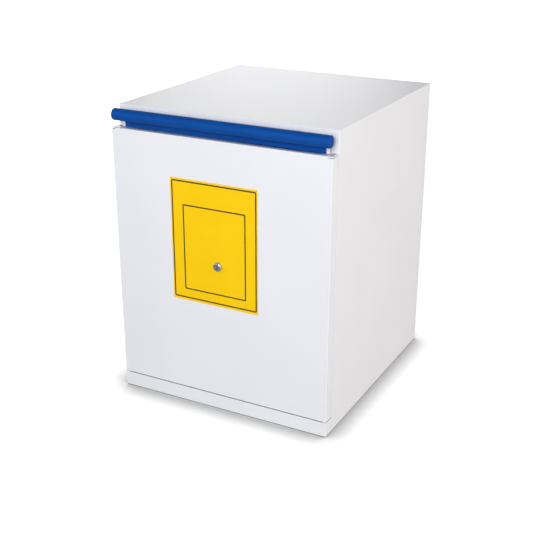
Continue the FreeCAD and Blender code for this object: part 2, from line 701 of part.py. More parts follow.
def make_front_panel():
    """The folded front: a skin, four sides and a flange that turns in at the rear."""
    body = new_body("front_panel")
    inset, flange = d.sheet, d.front_flange
    pad(body, "Y", 0, d.front_thickness, rectangle(
        -half_width, front_bottom, half_width, front_top))
    pocket(body, "Y", d.sheet, d.front_thickness - d.sheet * 2, rectangle(
        inset - half_width, front_bottom + inset, half_width - inset, front_top - inset))
    pocket(body, "Y", d.front_thickness - d.sheet - d.overrun, d.sheet + d.overrun * 2, rectangle(
        flange - half_width, front_bottom + flange, half_width - flange, front_top - flange))
    pocket(body, "Y", -d.overrun, d.sheet + d.overrun * 2,
           (0, d.lock_level, d.lock_barrel_diameter + d.hole_fit * 2))
    round_edges(body, d.bend_radius, lambda edge: isinstance(edge.Curve, Part.Line) and (
        lies_at(edge, y=0) or is_along(edge, "Y") and (
            lies_at(edge, x=half_width) or lies_at(edge, x=-half_width))))
    return seat(body, "front_panel")


def make_front_lining():
    """The sheet that closes the front from behind and clears the casing's opening."""
    body = new_body("front_liner")
    half = inner_half - d.front_lining_gap
    pad(body, "Y", d.front_thickness, d.front_lining, rectangle(
        -half, d.floor_level + d.front_lining_gap, half, lintel_under - d.front_lining_gap))
    pocket(body, "Y", d.front_thickness - d.overrun, d.front_lining + d.overrun * 2,
           (0, d.lock_level, d.spindle_hole))
    return seat(body, "front_liner")


def make_front_gasket():
    """The seal along the rear edges of the front, which shows as a pale line in the joint."""
    body = new_body("front_gasket")
    half = half_width - d.gasket_set_back
    bottom, top = front_bottom + d.gasket_set_back, front_top - d.gasket_set_back
    width = d.gasket_width
    pad(body, "Y", d.front_thickness, d.front_gap - d.gasket_gap,
        rectangle(-half, bottom, half, top),
        rectangle(width - half, bottom + width, half - width, top - width))
    return seat(body, "front_gasket")


def make_grip_bracket():
    """The steel upstand on the front's top edge that carries the grip."""
    body = new_body("grip_bracket")
    half = half_width - d.upstand_end_gap
    leg = d.grip_leg_set_back + d.grip_leg_leaf + d.upstand_fit
    pad(body, "X", -half, half * 2, [
        (leg, front_top), (leg + d.sheet + d.upstand_foot, front_top),
        (leg + d.sheet + d.upstand_foot, front_top + d.sheet),
        (leg + d.sheet, front_top + d.sheet), (leg + d.sheet, front_top + d.upstand_height),
        (leg, front_top + d.upstand_height)])
    return seat(body, "grip_bracket")


def make_grip_profile():
    """The extruded grip: a round tube whose two-leaved leg sits on the upstand's edge."""
    body = new_body("grip_profile")
    half = half_width - d.grip_end_gap - d.grip_cap_flange
    leg_half = half_width - d.grip_leg_end_gap
    pad(body, "X", -half, half * 2, (d.grip_set_back, grip_level, d.grip_diameter))
    leg_front, leg_rear = d.grip_leg_set_back, d.grip_leg_set_back + d.grip_leg_thickness
    neck_bottom, neck_top = grip_level - d.grip_neck / 2, grip_level + d.grip_neck / 2
    neck_front = d.grip_leg_set_back - d.grip_neck_bite
    leg_bottom = front_top + d.grip_leg_clear
    slot = leg_front + d.grip_leg_leaf
    slot_rear = slot + d.sheet + d.upstand_fit * 2
    slot_top = front_top + d.upstand_height
    pad(body, "X", -leg_half, leg_half * 2, [
        (leg_front, leg_bottom), (slot, leg_bottom), (slot, slot_top), (slot_rear, slot_top),
        (slot_rear, leg_bottom), (leg_rear, leg_bottom), (leg_rear, neck_top),
        (neck_front, neck_top), (neck_front, neck_bottom), (leg_front, neck_bottom)])
    bore = d.grip_diameter - d.grip_wall * 2
    pocket(body, "X", -half - d.overrun, (half + d.overrun) * 2,
           (d.grip_set_back, grip_level, bore))
    return seat(body, "grip_profile")


def make_grip_cap(name, side):
    """A cap that closes one end of the grip, its square plug wedged in the bore."""
    body = new_body(f"grip_cap_{name}")
    joint = half_width - d.grip_end_gap - d.grip_cap_flange
    bore = d.grip_diameter - d.grip_wall * 2
    low, high = mirrored(side, joint, joint + d.grip_cap_flange)
    pad(body, "X", low, high - low, (d.grip_set_back, grip_level, d.grip_diameter))
    low, high = mirrored(side, joint - d.grip_cap_plug, joint)
    reach = (bore / 2 - d.grip_cap_fit) / math.sqrt(2)
    pad(body, "X", low, high - low, rectangle(
        d.grip_set_back - reach, grip_level - reach, d.grip_set_back + reach, grip_level + reach))
    return seat(body, f"grip_cap_{name}")


# Telescopic slides: across is measured from the lining towards the drawer

middle_web = d.slide_gauge + d.slide_web_gap
outer_tip = d.slide_thickness - d.slide_flange_free
middle_tip = d.slide_thickness - d.slide_tip_gap
inner_tip = middle_web + d.slide_gauge * 2 + d.cage_web_gap
race_gap = d.roller_diameter + d.roller_play * 2
outer_race = d.slide_height / 2 - d.slide_gauge
middle_race = outer_race - race_gap
inner_race = middle_race - d.slide_gauge
drawer_race = inner_race - race_gap


def slide_piece(label, side, section, start, length):
    """A rolled section along the slide, its corners (across, up from the slide's middle)."""
    body = new_body(label)
    pad(body, "Y", start, length, [
        ((slide_face - across) * side, d.slide_level + up) for across, up in section])
    return body


def make_slide_outer(name, side):
    """The outer member, lipped at its open edges, which stays with the casing."""
    tall, race, lip = d.slide_height / 2, outer_race, outer_race - d.slide_lip
    gauge, tip = d.slide_gauge, outer_tip
    body = slide_piece(f"slide_outer_{name}", side, [
        (0, -tall), (tip, -tall), (tip, -lip), (tip - gauge, -lip), (tip - gauge, -race),
        (gauge, -race), (gauge, race), (tip - gauge, race), (tip - gauge, lip), (tip, lip),
        (tip, tall), (0, tall)], d.slide_start, d.slide_length)
    return seat(body, f"slide_outer_{name}")


def make_slide_middle(name, side):
    """The middle member, a channel that travels half as far as the drawer."""
    web, gauge, tip = middle_web, d.slide_gauge, middle_tip
    body = slide_piece(f"slide_middle_{name}", side, [
        (web, -middle_race), (tip, -middle_race), (tip, -inner_race), (web + gauge, -inner_race),
        (web + gauge, inner_race), (tip, inner_race), (tip, middle_race), (web, middle_race)],
        d.slide_start, d.slide_length)
    return seat(body, f"slide_middle_{name}")


def make_slide_inner(name, side):
    """The inner member, a channel open towards the lining, which the carriage is screwed to."""
    gauge, thick, race = d.slide_gauge, d.slide_thickness, drawer_race
    body = slide_piece(f"slide_inner_{name}", side, [
        (inner_tip, -race), (thick, -race), (thick, race), (inner_tip, race),
        (inner_tip, race - gauge), (thick - gauge, race - gauge),
        (thick - gauge, gauge - race), (inner_tip, gauge - race)],
        d.slide_start, d.slide_length)
    return seat(body, f"slide_inner_{name}")


def make_slide_cage(name, side, which):
    """A folded roller cage between two members, with its rollers in their pockets."""
    if which == "outer":
        web, middle = d.slide_gauge + d.cage_web_gap, (outer_race + middle_race) / 2
        roller_at = (middle_web + outer_tip) / 2
    else:
        web, middle = middle_web + d.slide_gauge + d.cage_web_gap, (inner_race + drawer_race) / 2
        roller_at = (inner_tip + middle_tip) / 2
    label = f"slide_cage_{which}_{name}"
    low, high = middle - d.cage_strip / 2, middle + d.cage_strip / 2
    near, far = roller_at - d.roller_length / 2, roller_at + d.roller_length / 2
    near_end, far_end = mirrored(side, slide_face - far, slide_face - near)
    web_end, reach = web + d.cage_gauge, far + d.cage_pocket_play + d.cage_edge
    start = d.slide_start + (d.slide_length - d.cage_length) / 2
    body = slide_piece(label, side, [
        (web, -high), (reach, -high), (reach, -low), (web_end, -low), (web_end, low),
        (reach, low), (reach, high), (web, high)], start, d.cage_length)
    first = start + d.roller_end
    pitch = (d.cage_length - d.roller_end * 2) / (ROLLERS_IN_A_ROW - 1)
    pocket_half = d.roller_diameter / 2 + d.cage_pocket_play
    opening = pocket(body, "Z", d.slide_level - high - d.overrun, (high + d.overrun) * 2, rectangle(
        near_end - d.cage_pocket_play, first - pocket_half,
        far_end + d.cage_pocket_play, first + pocket_half))
    repeat(body, opening, "V_Axis", pitch, ROLLERS_IN_A_ROW)
    solids = [body]
    for row in (-middle, middle):
        for index in range(ROLLERS_IN_A_ROW):
            roller = new_body(f"{label}_roller")
            pad(roller, "X", near_end, d.roller_length, (
                first + pitch * index, d.slide_level + row, d.roller_diameter))
            solids.append(roller)
    group = doc.addObject("Part::Compound", label + "_group")
    group.Links = solids
    return seat(group, label)


# Carriage and trays

def make_carriage_side(name, side):
    """A pierced side plate, folded inwards all round to carry the trays."""
    body = new_body(f"carriage_side_{name}")
    low, high = mirrored(side, carriage_face - d.carriage_flange, carriage_face)
    pad(body, "X", low, high - low, rectangle(
        liner_face, carriage_bottom, carriage_rear, carriage_top))
    low, high = mirrored(side, carriage_face - d.carriage_flange - d.overrun, carriage_inside)
    pocket(body, "X", low, high - low, rectangle(
        liner_face + d.sheet, carriage_bottom + d.sheet,
        carriage_rear - d.sheet, carriage_top - d.sheet))
    low, high = mirrored(side, carriage_inside - d.overrun, carriage_face + d.overrun)
    bottom, top = carriage_bottom + d.window_rise, carriage_bottom + d.window_rise + d.window_height
    windows = []
    for index in range(2):
        front = liner_face + d.window_front + (d.window_width + d.window_gap) * index
        rear = front + d.window_width
        windows.append([(front, bottom), (rear, bottom),
                        (rear - d.window_slant, top), (front + d.window_slant, top)])
    pocket(body, "X", low, high - low, *windows)
    round_edges(body, d.window_radius, lambda edge: is_along(edge, "X")
                and abs(edge.Length - d.sheet.number) < CLOSE
                and min(abs(edge.CenterOfMass.z - level.number) for level in (bottom, top)) < CLOSE)
    return seat(body, f"carriage_side_{name}")


def make_carriage_back():
    """The cross plate behind the lower tray, folded forward along its top."""
    body = new_body("carriage_back")
    rear = carriage_rear - d.sheet
    bottom = carriage_bottom + d.sheet
    top = bottom + d.carriage_back_height
    pad(body, "X", -carriage_inside, carriage_inside * 2, [
        (rear, bottom), (rear, top), (rear - d.carriage_back_fold, top),
        (rear - d.carriage_back_fold, top - d.sheet), (rear - d.sheet, top - d.sheet),
        (rear - d.sheet, bottom)])
    return seat(body, "carriage_back")


def make_tray(name, level, height):
    """A moulded spill tray with rounded corners and ribs on its floor."""
    body = new_body(f"tray_{name}")
    half = carriage_inside - d.tray_side_gap
    front = liner_face + d.tray_front_gap
    rear = carriage_rear - d.sheet - d.carriage_back_fold - d.tray_end_gap
    wall = d.tray_wall
    pad(body, "Z", level, height, rectangle(-half, front, half, rear))
    pocket(body, "Z", level + wall, height, rectangle(
        wall - half, front + wall, half - wall, rear - wall))
    outer, inner = d.tray_corner_radius, d.tray_corner_radius - wall
    for radius, tall in ((inner, height - wall), (outer, height)):
        round_edges(body, radius, lambda edge: is_along(edge, "Z")
                    and abs(edge.Length - tall.number) < CLOSE)
    margin = d.tray_rib_margin
    first = -(d.tray_rib_pitch * (TRAY_RIBS - 1) + d.tray_rib_width) / 2
    rib = pad(body, "Z", level + wall, d.tray_rib_height, rectangle(
        first, front + margin, first + d.tray_rib_width, rear - margin))
    repeat(body, rib, "H_Axis", d.tray_rib_pitch, TRAY_RIBS)
    return seat(body, f"tray_{name}")


# All the pieces

make_top_panel()
make_floor_panel()
make_plinth_front()
make_back_panel()
make_back_lining()
make_vent_collar()
make_keeper("top", RIGHT, lintel_under + d.sheet)
make_keeper("bottom", LEFT, d.floor_level)
for name, side in SIDES.items():
    make_side_panel(name, side)
    make_side_lining(name, side)
    make_slide_rail(name, side)
    make_slide_outer(name, side)
    make_slide_middle(name, side)
    make_slide_inner(name, side)
    make_slide_cage(name, side, "outer")
    make_slide_cage(name, side, "inner")
    make_carriage_side(name, side)
    make_grip_cap(name, side)
    for row in foot_rows:
        make_foot_bracket(f"{row}_{name}", side, row)
        make_levelling_foot(f"{row}_{name}", side, row)
make_front_panel()
make_front_lining()
make_front_gasket()
make_grip_bracket()
make_grip_profile()
make_carriage_back()
make_tray("lower", carriage_bottom + d.sheet, d.tray_lower_height)
make_tray("upper", carriage_top, d.tray_upper_height)
make_lock_housing()
make_lock_nut()
make_lock_base()
make_lock_cover()
make_lock_plug()
make_pinion()
for name, side in (("upper", RIGHT), ("lower", LEFT)):
    make_lock_rod(name, side)
    make_rod_guide(name, side)

doc.recompute()
for item in doc.Objects:
    if "Invalid" in item.State or "Error" in item.State:
        owner = item.getParentGeoFeatureGroup() or item
        raise RuntimeError(f"{item.Label} of {owner.Label} did not build: {item.State}")
os.makedirs("parts", exist_ok=True)
for piece in made:
    if piece.Shape.isNull() or not piece.Shape.isValid() or not piece.Shape.Solids:
        raise RuntimeError(f"{piece.Label} has no valid solid")
    piece.Shape.exportStep(f"parts/{piece.Label}.step")
whole = Part.makeCompound([piece.Shape for piece in made]).BoundBox
print(f"{len(made)} pieces, box {whole}")
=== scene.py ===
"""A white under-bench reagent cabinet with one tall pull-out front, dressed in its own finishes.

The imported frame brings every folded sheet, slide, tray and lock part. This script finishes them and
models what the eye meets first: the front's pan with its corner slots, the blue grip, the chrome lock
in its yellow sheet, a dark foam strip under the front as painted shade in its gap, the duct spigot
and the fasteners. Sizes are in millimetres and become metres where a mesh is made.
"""

import logging
import math
from collections.abc import Callable, Sequence
from dataclasses import dataclass
from enum import Enum
from typing import Any, ClassVar

import bmesh
import bpy
from mathutils import Euler, Matrix, Vector

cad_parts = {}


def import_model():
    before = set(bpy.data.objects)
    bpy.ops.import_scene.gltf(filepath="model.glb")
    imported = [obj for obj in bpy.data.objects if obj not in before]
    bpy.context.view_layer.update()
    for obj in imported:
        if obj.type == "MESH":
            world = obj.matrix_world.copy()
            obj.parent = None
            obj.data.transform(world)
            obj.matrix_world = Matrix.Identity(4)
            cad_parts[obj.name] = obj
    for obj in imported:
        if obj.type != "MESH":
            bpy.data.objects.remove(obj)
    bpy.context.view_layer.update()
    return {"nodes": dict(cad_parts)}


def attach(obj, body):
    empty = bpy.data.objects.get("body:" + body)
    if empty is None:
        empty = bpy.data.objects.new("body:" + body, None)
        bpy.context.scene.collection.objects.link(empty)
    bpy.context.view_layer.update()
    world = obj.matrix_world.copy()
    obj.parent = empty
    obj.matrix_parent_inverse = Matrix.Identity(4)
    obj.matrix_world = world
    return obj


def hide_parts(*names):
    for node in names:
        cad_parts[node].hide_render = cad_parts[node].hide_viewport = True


LOG = logging.getLogger("cabinet")
MM = 0.001
CLOSE = 0.02 * MM
# A face whose normal has more than this share along a way looks that way
FACING = 0.9
Point = tuple[float, float, float]

# The curve between an sRGB value and linear light
SRGB_KNEE = 0.04045
SRGB_SLOPE = 12.92
SRGB_OFFSET = 0.055
SRGB_POWER = 2.4

# The colour mix node's sockets, which share their names with its other kinds
MIX_FACTOR = 0
MIX_FIRST = 6
MIX_SECOND = 7
MIX_COLOUR = 2


class Body(Enum):
    """The moving and standing bodies that carry the new pieces."""

    CASING = "casing"
    DRAWER = "drawer"
    LOCK = "lock"


class Slot(Enum):
    """The record's material slots."""

    COAT = "white_powder_coat"
    GRIP = "blue_plastic"
    CHROME = "lock_chrome"
    ZINC = "zinc_steel"
    LINING = "polypropylene"
    SEAL = "gasket_rubber"
    GUIDE = "nylon"


class Axis(Enum):
    """The way that a turned piece faces, with the turn that takes a circle from +Z to it."""

    FRONT = ((0.0, -1.0, 0.0), (math.pi / 2, 0.0, 0.0))
    BACK = ((0.0, 1.0, 0.0), (-math.pi / 2, 0.0, 0.0))
    RIGHT = ((1.0, 0.0, 0.0), (0.0, math.pi / 2, 0.0))
    LEFT = ((-1.0, 0.0, 0.0), (0.0, -math.pi / 2, 0.0))
    UP = ((0.0, 0.0, 1.0), (0.0, 0.0, 0.0))

    @property
    def direction(self) -> Vector:
        """The unit vector of this way."""
        return Vector(self.value[0])

    @property
    def turn(self) -> Point:
        """The Euler turn of a primitive that faces this way."""
        return self.value[1]


# Colours and shader nodes


def linear(colour: str) -> tuple[float, float, float, float]:
    """Turns an sRGB hex colour to linear light.

    Args:
        colour: Six hex digits, such as "F4F5F7".

    Returns:
        Red, green, blue and alpha in linear light.
    """
    shares = [int(colour[place:place + 2], 16) / 255 for place in (0, 2, 4)]
    red, green, blue = (
        share / SRGB_SLOPE if share <= SRGB_KNEE
        else ((share + SRGB_OFFSET) / (1 + SRGB_OFFSET)) ** SRGB_POWER for share in shares)
    return red, green, blue, 1.0


def cells(size: float) -> float:
    """Gives the texture scale whose features are size millimetres wide."""
    return 1 / (size * MM)


def add_node(tree: bpy.types.NodeTree, kind: str, values: dict[Any, Any] | None = None,
             links: dict[Any, bpy.types.NodeSocket] | None = None,
             **settings: Any) -> bpy.types.Node:
    """Adds one shader node with its settings, constants and links.

    Args:
        tree: The material's or world's node tree.
        kind: The node's type, such as "ShaderNodeTexNoise".
        values: Constants by input name or number.
        links: Output sockets by the input name or number that they feed.
        settings: Properties of the node itself.

    Returns:
        The new node.
    """
    node = tree.nodes.new(kind)
    for name, value in settings.items():
        setattr(node, name, value)
    for socket, value in (values or {}).items():
        node.inputs[socket].default_value = value
    for socket, source in (links or {}).items():
        tree.links.new(source, node.inputs[socket])
    return node


def spread(tree: bpy.types.NodeTree, value: bpy.types.NodeSocket, low: float, high: float,
           start: float = 0.3, stop: float = 0.7) -> bpy.types.NodeSocket:
    """Maps a noise value to a working range.

    Args:
        tree: The material's node tree.
        value: The value to map.
        low: The result at start.
        high: The result at stop.
        start: The value that gives low.
        stop: The value that gives high.

    Returns:
        The mapped value's socket.
    """
    return add_node(tree, "ShaderNodeMapRange",
                    {"From Min": start, "From Max": stop, "To Min": low, "To Max": high},
                    {"Value": value}).outputs["Result"]


# Finishes


@dataclass(frozen=True)
class Canvas:
    """A material while it is drawn: its node tree, its shader and the object's own coordinates."""

    tree: bpy.types.NodeTree
    shader: bpy.types.Node
    place: bpy.types.NodeSocket

    def feed(self, source: bpy.types.NodeSocket, name: str) -> None:
        """Links a value to one of the shader's inputs."""
        self.tree.links.new(source, self.shader.inputs[name])

    def noise(self, size: float, stretch: Point = (1.0, 1.0, 1.0),
              detail: float = 2.0) -> bpy.types.NodeSocket:
        """Adds a noise whose features are size millimetres, longer where stretch is small.

        Args:
            size: The width of one feature, in millimetres.
            stretch: How much faster the pattern runs along each axis.
            detail: How many finer layers it has.

        Returns:
            The noise's value.
        """
        where = add_node(self.tree, "ShaderNodeMapping", {"Scale": stretch}, {"Vector": self.place})
        return add_node(self.tree, "ShaderNodeTexNoise", {"Scale": cells(size), "Detail": detail},
                        {"Vector": where.outputs["Vector"]}).outputs["Fac"]

    def pores(self, size: float) -> bpy.types.NodeSocket:
        """Adds round cells that are size millimetres wide, as the distance from their middles."""
        return add_node(self.tree, "ShaderNodeTexVoronoi", {"Scale": cells(size)},
                        {"Vector": self.place}).outputs["Distance"]

    def spread(self, value: bpy.types.NodeSocket, low: float = 0.0, high: float = 1.0,
               start: float = 0.3, stop: float = 0.7) -> bpy.types.NodeSocket:
        """Maps a value to a working range, as the function of this name does."""
        return spread(self.tree, value, low, high, start, stop)

    def blend(self, mask: bpy.types.NodeSocket, light: str, dark: str) -> bpy.types.NodeSocket:
        """Blends two tones by a mask.

        Args:
            mask: A value from 0 for light to 1 for dark.
            light: The tone where the mask is 0.
            dark: The tone where the mask is 1.

        Returns:
            The blended colour.
        """
        tones = {MIX_FIRST: linear(light), MIX_SECOND: linear(dark)}
        return add_node(self.tree, "ShaderNodeMix", tones, {MIX_FACTOR: mask},
                        data_type="RGBA").outputs[MIX_COLOUR]

    def tint(self, mask: bpy.types.NodeSocket, light: str, dark: str) -> None:
        """Lets a mask blend the base colour between two tones."""
        self.feed(self.blend(mask, light, dark), "Base Color")

    def emboss(self, height: bpy.types.NodeSocket, depth: float) -> None:
        """Raises the surface by a height pattern.

        Args:
            height: The pattern, which is 1 where the surface is highest.
            depth: How far it raises the surface, in millimetres.
        """
        bump = add_node(self.tree, "ShaderNodeBump", {"Strength": 1.0, "Distance": depth * MM},
                        {"Height": height})
        self.feed(bump.outputs["Normal"], "Normal")


@dataclass(frozen=True)
class Finish:
    """A real finish: its name, its slot in the record and the shader's own constants.

    The shade is the second tone of its pattern, and the sheen is the roughness where the pattern is
    low and where it is high.
    """

    name: str
    slot: Slot
    colour: str
    roughness: float
    shade: str = ""
    sheen: tuple[float, float] = (0.0, 0.0)
    metallic: float = 0.0
    ior: float = 1.5
    shine: float = 0.5

    def make(self) -> bpy.types.Material:
        """Makes the material with its constants and its pattern.

        Returns:
            The material, made once and kept by its name.
        """
        known = bpy.data.materials.get(self.name)
        if known:
            return known
        material = bpy.data.materials.new(self.name)
        material.use_nodes = True
        material.diffuse_color = linear(self.colour)
        tree = material.node_tree
        shader = tree.nodes["Principled BSDF"]
        shader.inputs["Base Color"].default_value = linear(self.colour)
        shader.inputs["Roughness"].default_value = self.roughness
        shader.inputs["Metallic"].default_value = self.metallic
        if not self.metallic:
            shader.inputs["IOR"].default_value = self.ior
        shader.inputs["Specular IOR Level"].default_value = self.shine
        place = add_node(tree, "ShaderNodeTexCoord").outputs["Object"]
        self.draw(Canvas(tree, shader, place))
        return material

    def draw(self, canvas: Canvas) -> None:
        """Draws the finish's pattern over the constants; every finish has its own."""
        raise NotImplementedError


@dataclass(frozen=True)
class PowderCoat(Finish):
    """Baked polyester powder on steel: satin white, with the soft ripple of melted grains.

    The eye sees a slightly cool white, a broad dull shine and, close by, a fine orange peel.
    """

    name: str = "polyester_powder_coat"
    slot: Slot = Slot.COAT
    colour: str = "E9EAEE"
    roughness: float = 0.42
    shade: str = "E6E7EB"
    sheen: tuple[float, float] = (0.38, 0.46)
    shine: float = 0.25
    # Real ripples are about 1.2 mm across, and drawn at 3 mm because finer ones vanish in the render.
    ripple: float = 3.0
    ripple_depth: float = 0.02
    cloud: float = 180.0

    def draw(self, canvas: Canvas) -> None:
        """Draws the ripple and a faint change of film thickness.

        Args:
            canvas: The material to draw on.
        """
        canvas.tint(canvas.spread(canvas.noise(self.cloud)), self.colour, self.shade)
        peel = canvas.noise(self.ripple, detail=1.0)
        canvas.feed(canvas.spread(peel, *self.sheen), "Roughness")
        canvas.emboss(peel, self.ripple_depth)


@dataclass(frozen=True)
class GripPlastic(Finish):
    """Extruded rigid plastic, dyed through: blue, satin, with faint die lines along its length."""

    name: str = "blue_extruded_plastic"
    slot: Slot = Slot.GRIP
    colour: str = "0A4C9E"
    roughness: float = 0.42
    shade: str = "084794"
    sheen: tuple[float, float] = (0.38, 0.46)
    ior: float = 1.53
    shine: float = 0.08
    # Die lines lie about 0.6 mm apart, and are drawn at 1.4 mm so that they show at all.
    line: float = 1.4
    line_depth: float = 0.012
    touch: float = 35.0

    def draw(self, canvas: Canvas) -> None:
        """Draws the lines that the die leaves, and handling marks in the shine.

        Args:
            canvas: The material to draw on.
        """
        lines = canvas.noise(self.line, stretch=(0.01, 1.0, 1.0))
        handled = canvas.noise(self.touch)
        canvas.tint(canvas.spread(handled), self.colour, self.shade)
        canvas.feed(canvas.spread(handled, *self.sheen), "Roughness")
        canvas.emboss(lines, self.line_depth)


@dataclass(frozen=True)
class ChromePlate(Finish):
    """Bright chrome over a die-cast lock: a mirror with hair-fine wiping marks."""

    name: str = "bright_chrome_plate"
    slot: Slot = Slot.CHROME
    colour: str = "D6D8DB"
    roughness: float = 0.12
    shade: str = "C4C7CC"
    sheen: tuple[float, float] = (0.08, 0.2)
    metallic: float = 1.0
    # Wiping marks are a few hundredths wide, and drawn at 0.5 mm so that they soften the mirror.
    mark: float = 0.5

    def draw(self, canvas: Canvas) -> None:
        """Draws wiping marks into the shine and a little dulling in the tone.

        Args:
            canvas: The material to draw on.
        """
        marks = canvas.noise(self.mark, stretch=(1.0, 1.0, 0.15))
        canvas.feed(canvas.spread(marks, *self.sheen), "Roughness")
        canvas.tint(canvas.spread(marks), self.colour, self.shade)


@dataclass(frozen=True)
class ZincPlate(Finish):
    """Galvanic zinc on cold-rolled steel: grey metal, cloudy, with the mill's fine grain."""

    name: str = "zinc_plated_steel"
    slot: Slot = Slot.ZINC
    colour: str = "B4BAC0"
    roughness: float = 0.34
    shade: str = "9EA6AE"
    sheen: tuple[float, float] = (0.28, 0.44)
    metallic: float = 1.0
    cloud: float = 22.0
    # The mill's grain is about 0.2 mm wide, and drawn at 0.8 mm so that it shows on the slides.
    grain: float = 0.8
    grain_depth: float = 0.008

    def draw(self, canvas: Canvas) -> None:
        """Draws the bath's clouds and the grain of the strip, which runs along the slides.

        Args:
            canvas: The material to draw on.
        """
        cloud = canvas.noise(self.cloud, detail=3.0)
        canvas.tint(canvas.spread(cloud), self.colour, self.shade)
        grain = canvas.noise(self.grain, stretch=(1.0, 0.04, 1.0))
        canvas.feed(canvas.spread(cloud, *self.sheen), "Roughness")
        canvas.emboss(grain, self.grain_depth)


@dataclass(frozen=True)
class Polypropylene(Finish):
    """Moulded or rolled polypropylene: milky light grey, waxy, with a fine eroded grain."""

    name: str = "grey_polypropylene"
    slot: Slot = Slot.LINING
    colour: str = "D5D8D9"
    roughness: float = 0.46
    shade: str = "CDD1D2"
    sheen: tuple[float, float] = (0.4, 0.54)
    ior: float = 1.49
    cloud: float = 60.0
    # The mould's grain is about 0.3 mm across, and drawn at 0.9 mm so that it breaks the shine.
    grain: float = 0.9
    grain_depth: float = 0.03
    milk: float = 0.08
    milk_reach: float = 2.0

    def draw(self, canvas: Canvas) -> None:
        """Draws the grain, a milky cloud and the little light that goes into the wall.

        Args:
            canvas: The material to draw on.
        """
        canvas.tint(canvas.spread(canvas.noise(self.cloud)), self.colour, self.shade)
        canvas.shader.inputs["Subsurface Weight"].default_value = self.milk
        canvas.shader.inputs["Subsurface Radius"].default_value = (self.milk_reach * MM,) * 3
        grain = canvas.noise(self.grain, detail=1.0)
        canvas.feed(canvas.spread(grain, *self.sheen), "Roughness")
        canvas.emboss(grain, self.grain_depth)


@dataclass(frozen=True)
class SealFoam(Finish):
    """Closed-cell silicone foam: soft white-grey, dead matt, with its cells just visible."""

    name: str = "silicone_foam_seal"
    slot: Slot = Slot.SEAL
    colour: str = "DADBDB"
    roughness: float = 0.85
    shade: str = "C6C8C8"
    ior: float = 1.41
    # The cells are about 0.3 mm, and drawn at 1 mm so that they show.
    cell: float = 1.0
    cell_depth: float = 0.08
    cell_edge: float = 0.4

    def draw(self, canvas: Canvas) -> None:
        """Draws the foam's cells, darker towards their sunken middles as painted shade.

        Args:
            canvas: The material to draw on.
        """
        pores = canvas.pores(self.cell)
        # The cells' middles, which the bump sets lowest, are darker: painted shade in the hollows.
        canvas.tint(canvas.spread(pores, 1.0, 0.0, 0.0, self.cell_edge), self.colour, self.shade)
        canvas.emboss(pores, self.cell_depth)


@dataclass(frozen=True)
class GapShadeFoam(Finish):
    """Closed-cell EPDM foam with its skin on: charcoal, dead matt, slightly pitted; its dark is
    painted shade for the gap under the front.
    """

    name: str = "charcoal_gap_shade_strip"
    slot: Slot = Slot.SEAL
    # This charcoal is painted shade: a dark sheet that darkens the gap between the front and the
    # plinth.
    colour: str = "1E1F21"
    roughness: float = 0.9
    shade: str = "2A2B2E"
    ior: float = 1.45
    shine: float = 0.1
    # The pits are about 0.3 mm, and drawn at 1 mm so that they show.
    pit: float = 1.0
    pit_depth: float = 0.05

    def draw(self, canvas: Canvas) -> None:
        """Draws the pits of the foam's skin, darker where they sink as painted shade.

        Args:
            canvas: The material to draw on.
        """
        pits = canvas.noise(self.pit)
        # The pits that the bump sinks are darker: painted shade in the hollows.
        canvas.tint(canvas.spread(pits), self.colour, self.shade)
        canvas.emboss(pits, self.pit_depth)


@dataclass(frozen=True)
class GuideNylon(Finish):
    """Turned natural nylon: warm off-white, half matt, with the tool's rings."""

    name: str = "natural_nylon"
    slot: Slot = Slot.GUIDE
    colour: str = "E4E0D4"
    roughness: float = 0.5
    shade: str = "DAD5C6"
    ior: float = 1.53
    # Tool rings are about 0.2 mm apart, and drawn at 0.7 mm so that they show.
    ring: float = 0.7
    ring_depth: float = 0.02

    def draw(self, canvas: Canvas) -> None:
        """Draws the tool's marks and a little age.

        Args:
            canvas: The material to draw on.
        """
        marks = canvas.noise(self.ring, stretch=(1.0, 1.0, 0.2))
        canvas.tint(canvas.spread(marks), self.colour, self.shade)
        canvas.emboss(marks, self.ring_depth)


@dataclass(frozen=True)
class YellowVinyl(Finish):
    """Cast self-adhesive vinyl, printed yellow: satin, with a slight ripple from being rubbed down."""

    name: str = "yellow_vinyl_film"
    slot: Slot = Slot.COAT
    colour: str = "FACC02"
    roughness: float = 0.4
    shade: str = "F8C900"
    sheen: tuple[float, float] = (0.36, 0.44)
    ior: float = 1.54
    shine: float = 0.2
    ink: float = 45.0
    ripple: float = 9.0
    ripple_depth: float = 0.015

    def draw(self, canvas: Canvas) -> None:
        """Draws the uneven ink and the film's ripple.

        Args:
            canvas: The material to draw on.
        """
        canvas.tint(canvas.spread(canvas.noise(self.ink)), self.colour, self.shade)
        ripple = canvas.noise(self.ripple, detail=1.0)
        canvas.feed(canvas.spread(ripple, *self.sheen), "Roughness")
        canvas.emboss(ripple, self.ripple_depth)


@dataclass(frozen=True)
class BlackInk(Finish):
    """Screen-printed black on the film: dense, flat, a little thinner at the mesh's openings."""

    name: str = "black_screen_ink"
    slot: Slot = Slot.COAT
    colour: str = "0F0D09"
    roughness: float = 0.5
    shade: str = "1D1911"
    sheen: tuple[float, float] = (0.45, 0.6)
    # The screen's openings are about 0.1 mm, and drawn at 0.6 mm so that the tone isn't flat.
    opening: float = 0.6
    dot: tuple[float, float] = (0.1, 0.6)

    def draw(self, canvas: Canvas) -> None:
        """Draws the screen's openings in tone and shine.

        Args:
            canvas: The material to draw on.
        """
        dots = canvas.pores(self.opening)
        canvas.tint(canvas.spread(dots, 0.0, 1.0, *self.dot), self.colour, self.shade)
        canvas.feed(canvas.spread(dots, *self.sheen, *self.dot), "Roughness")


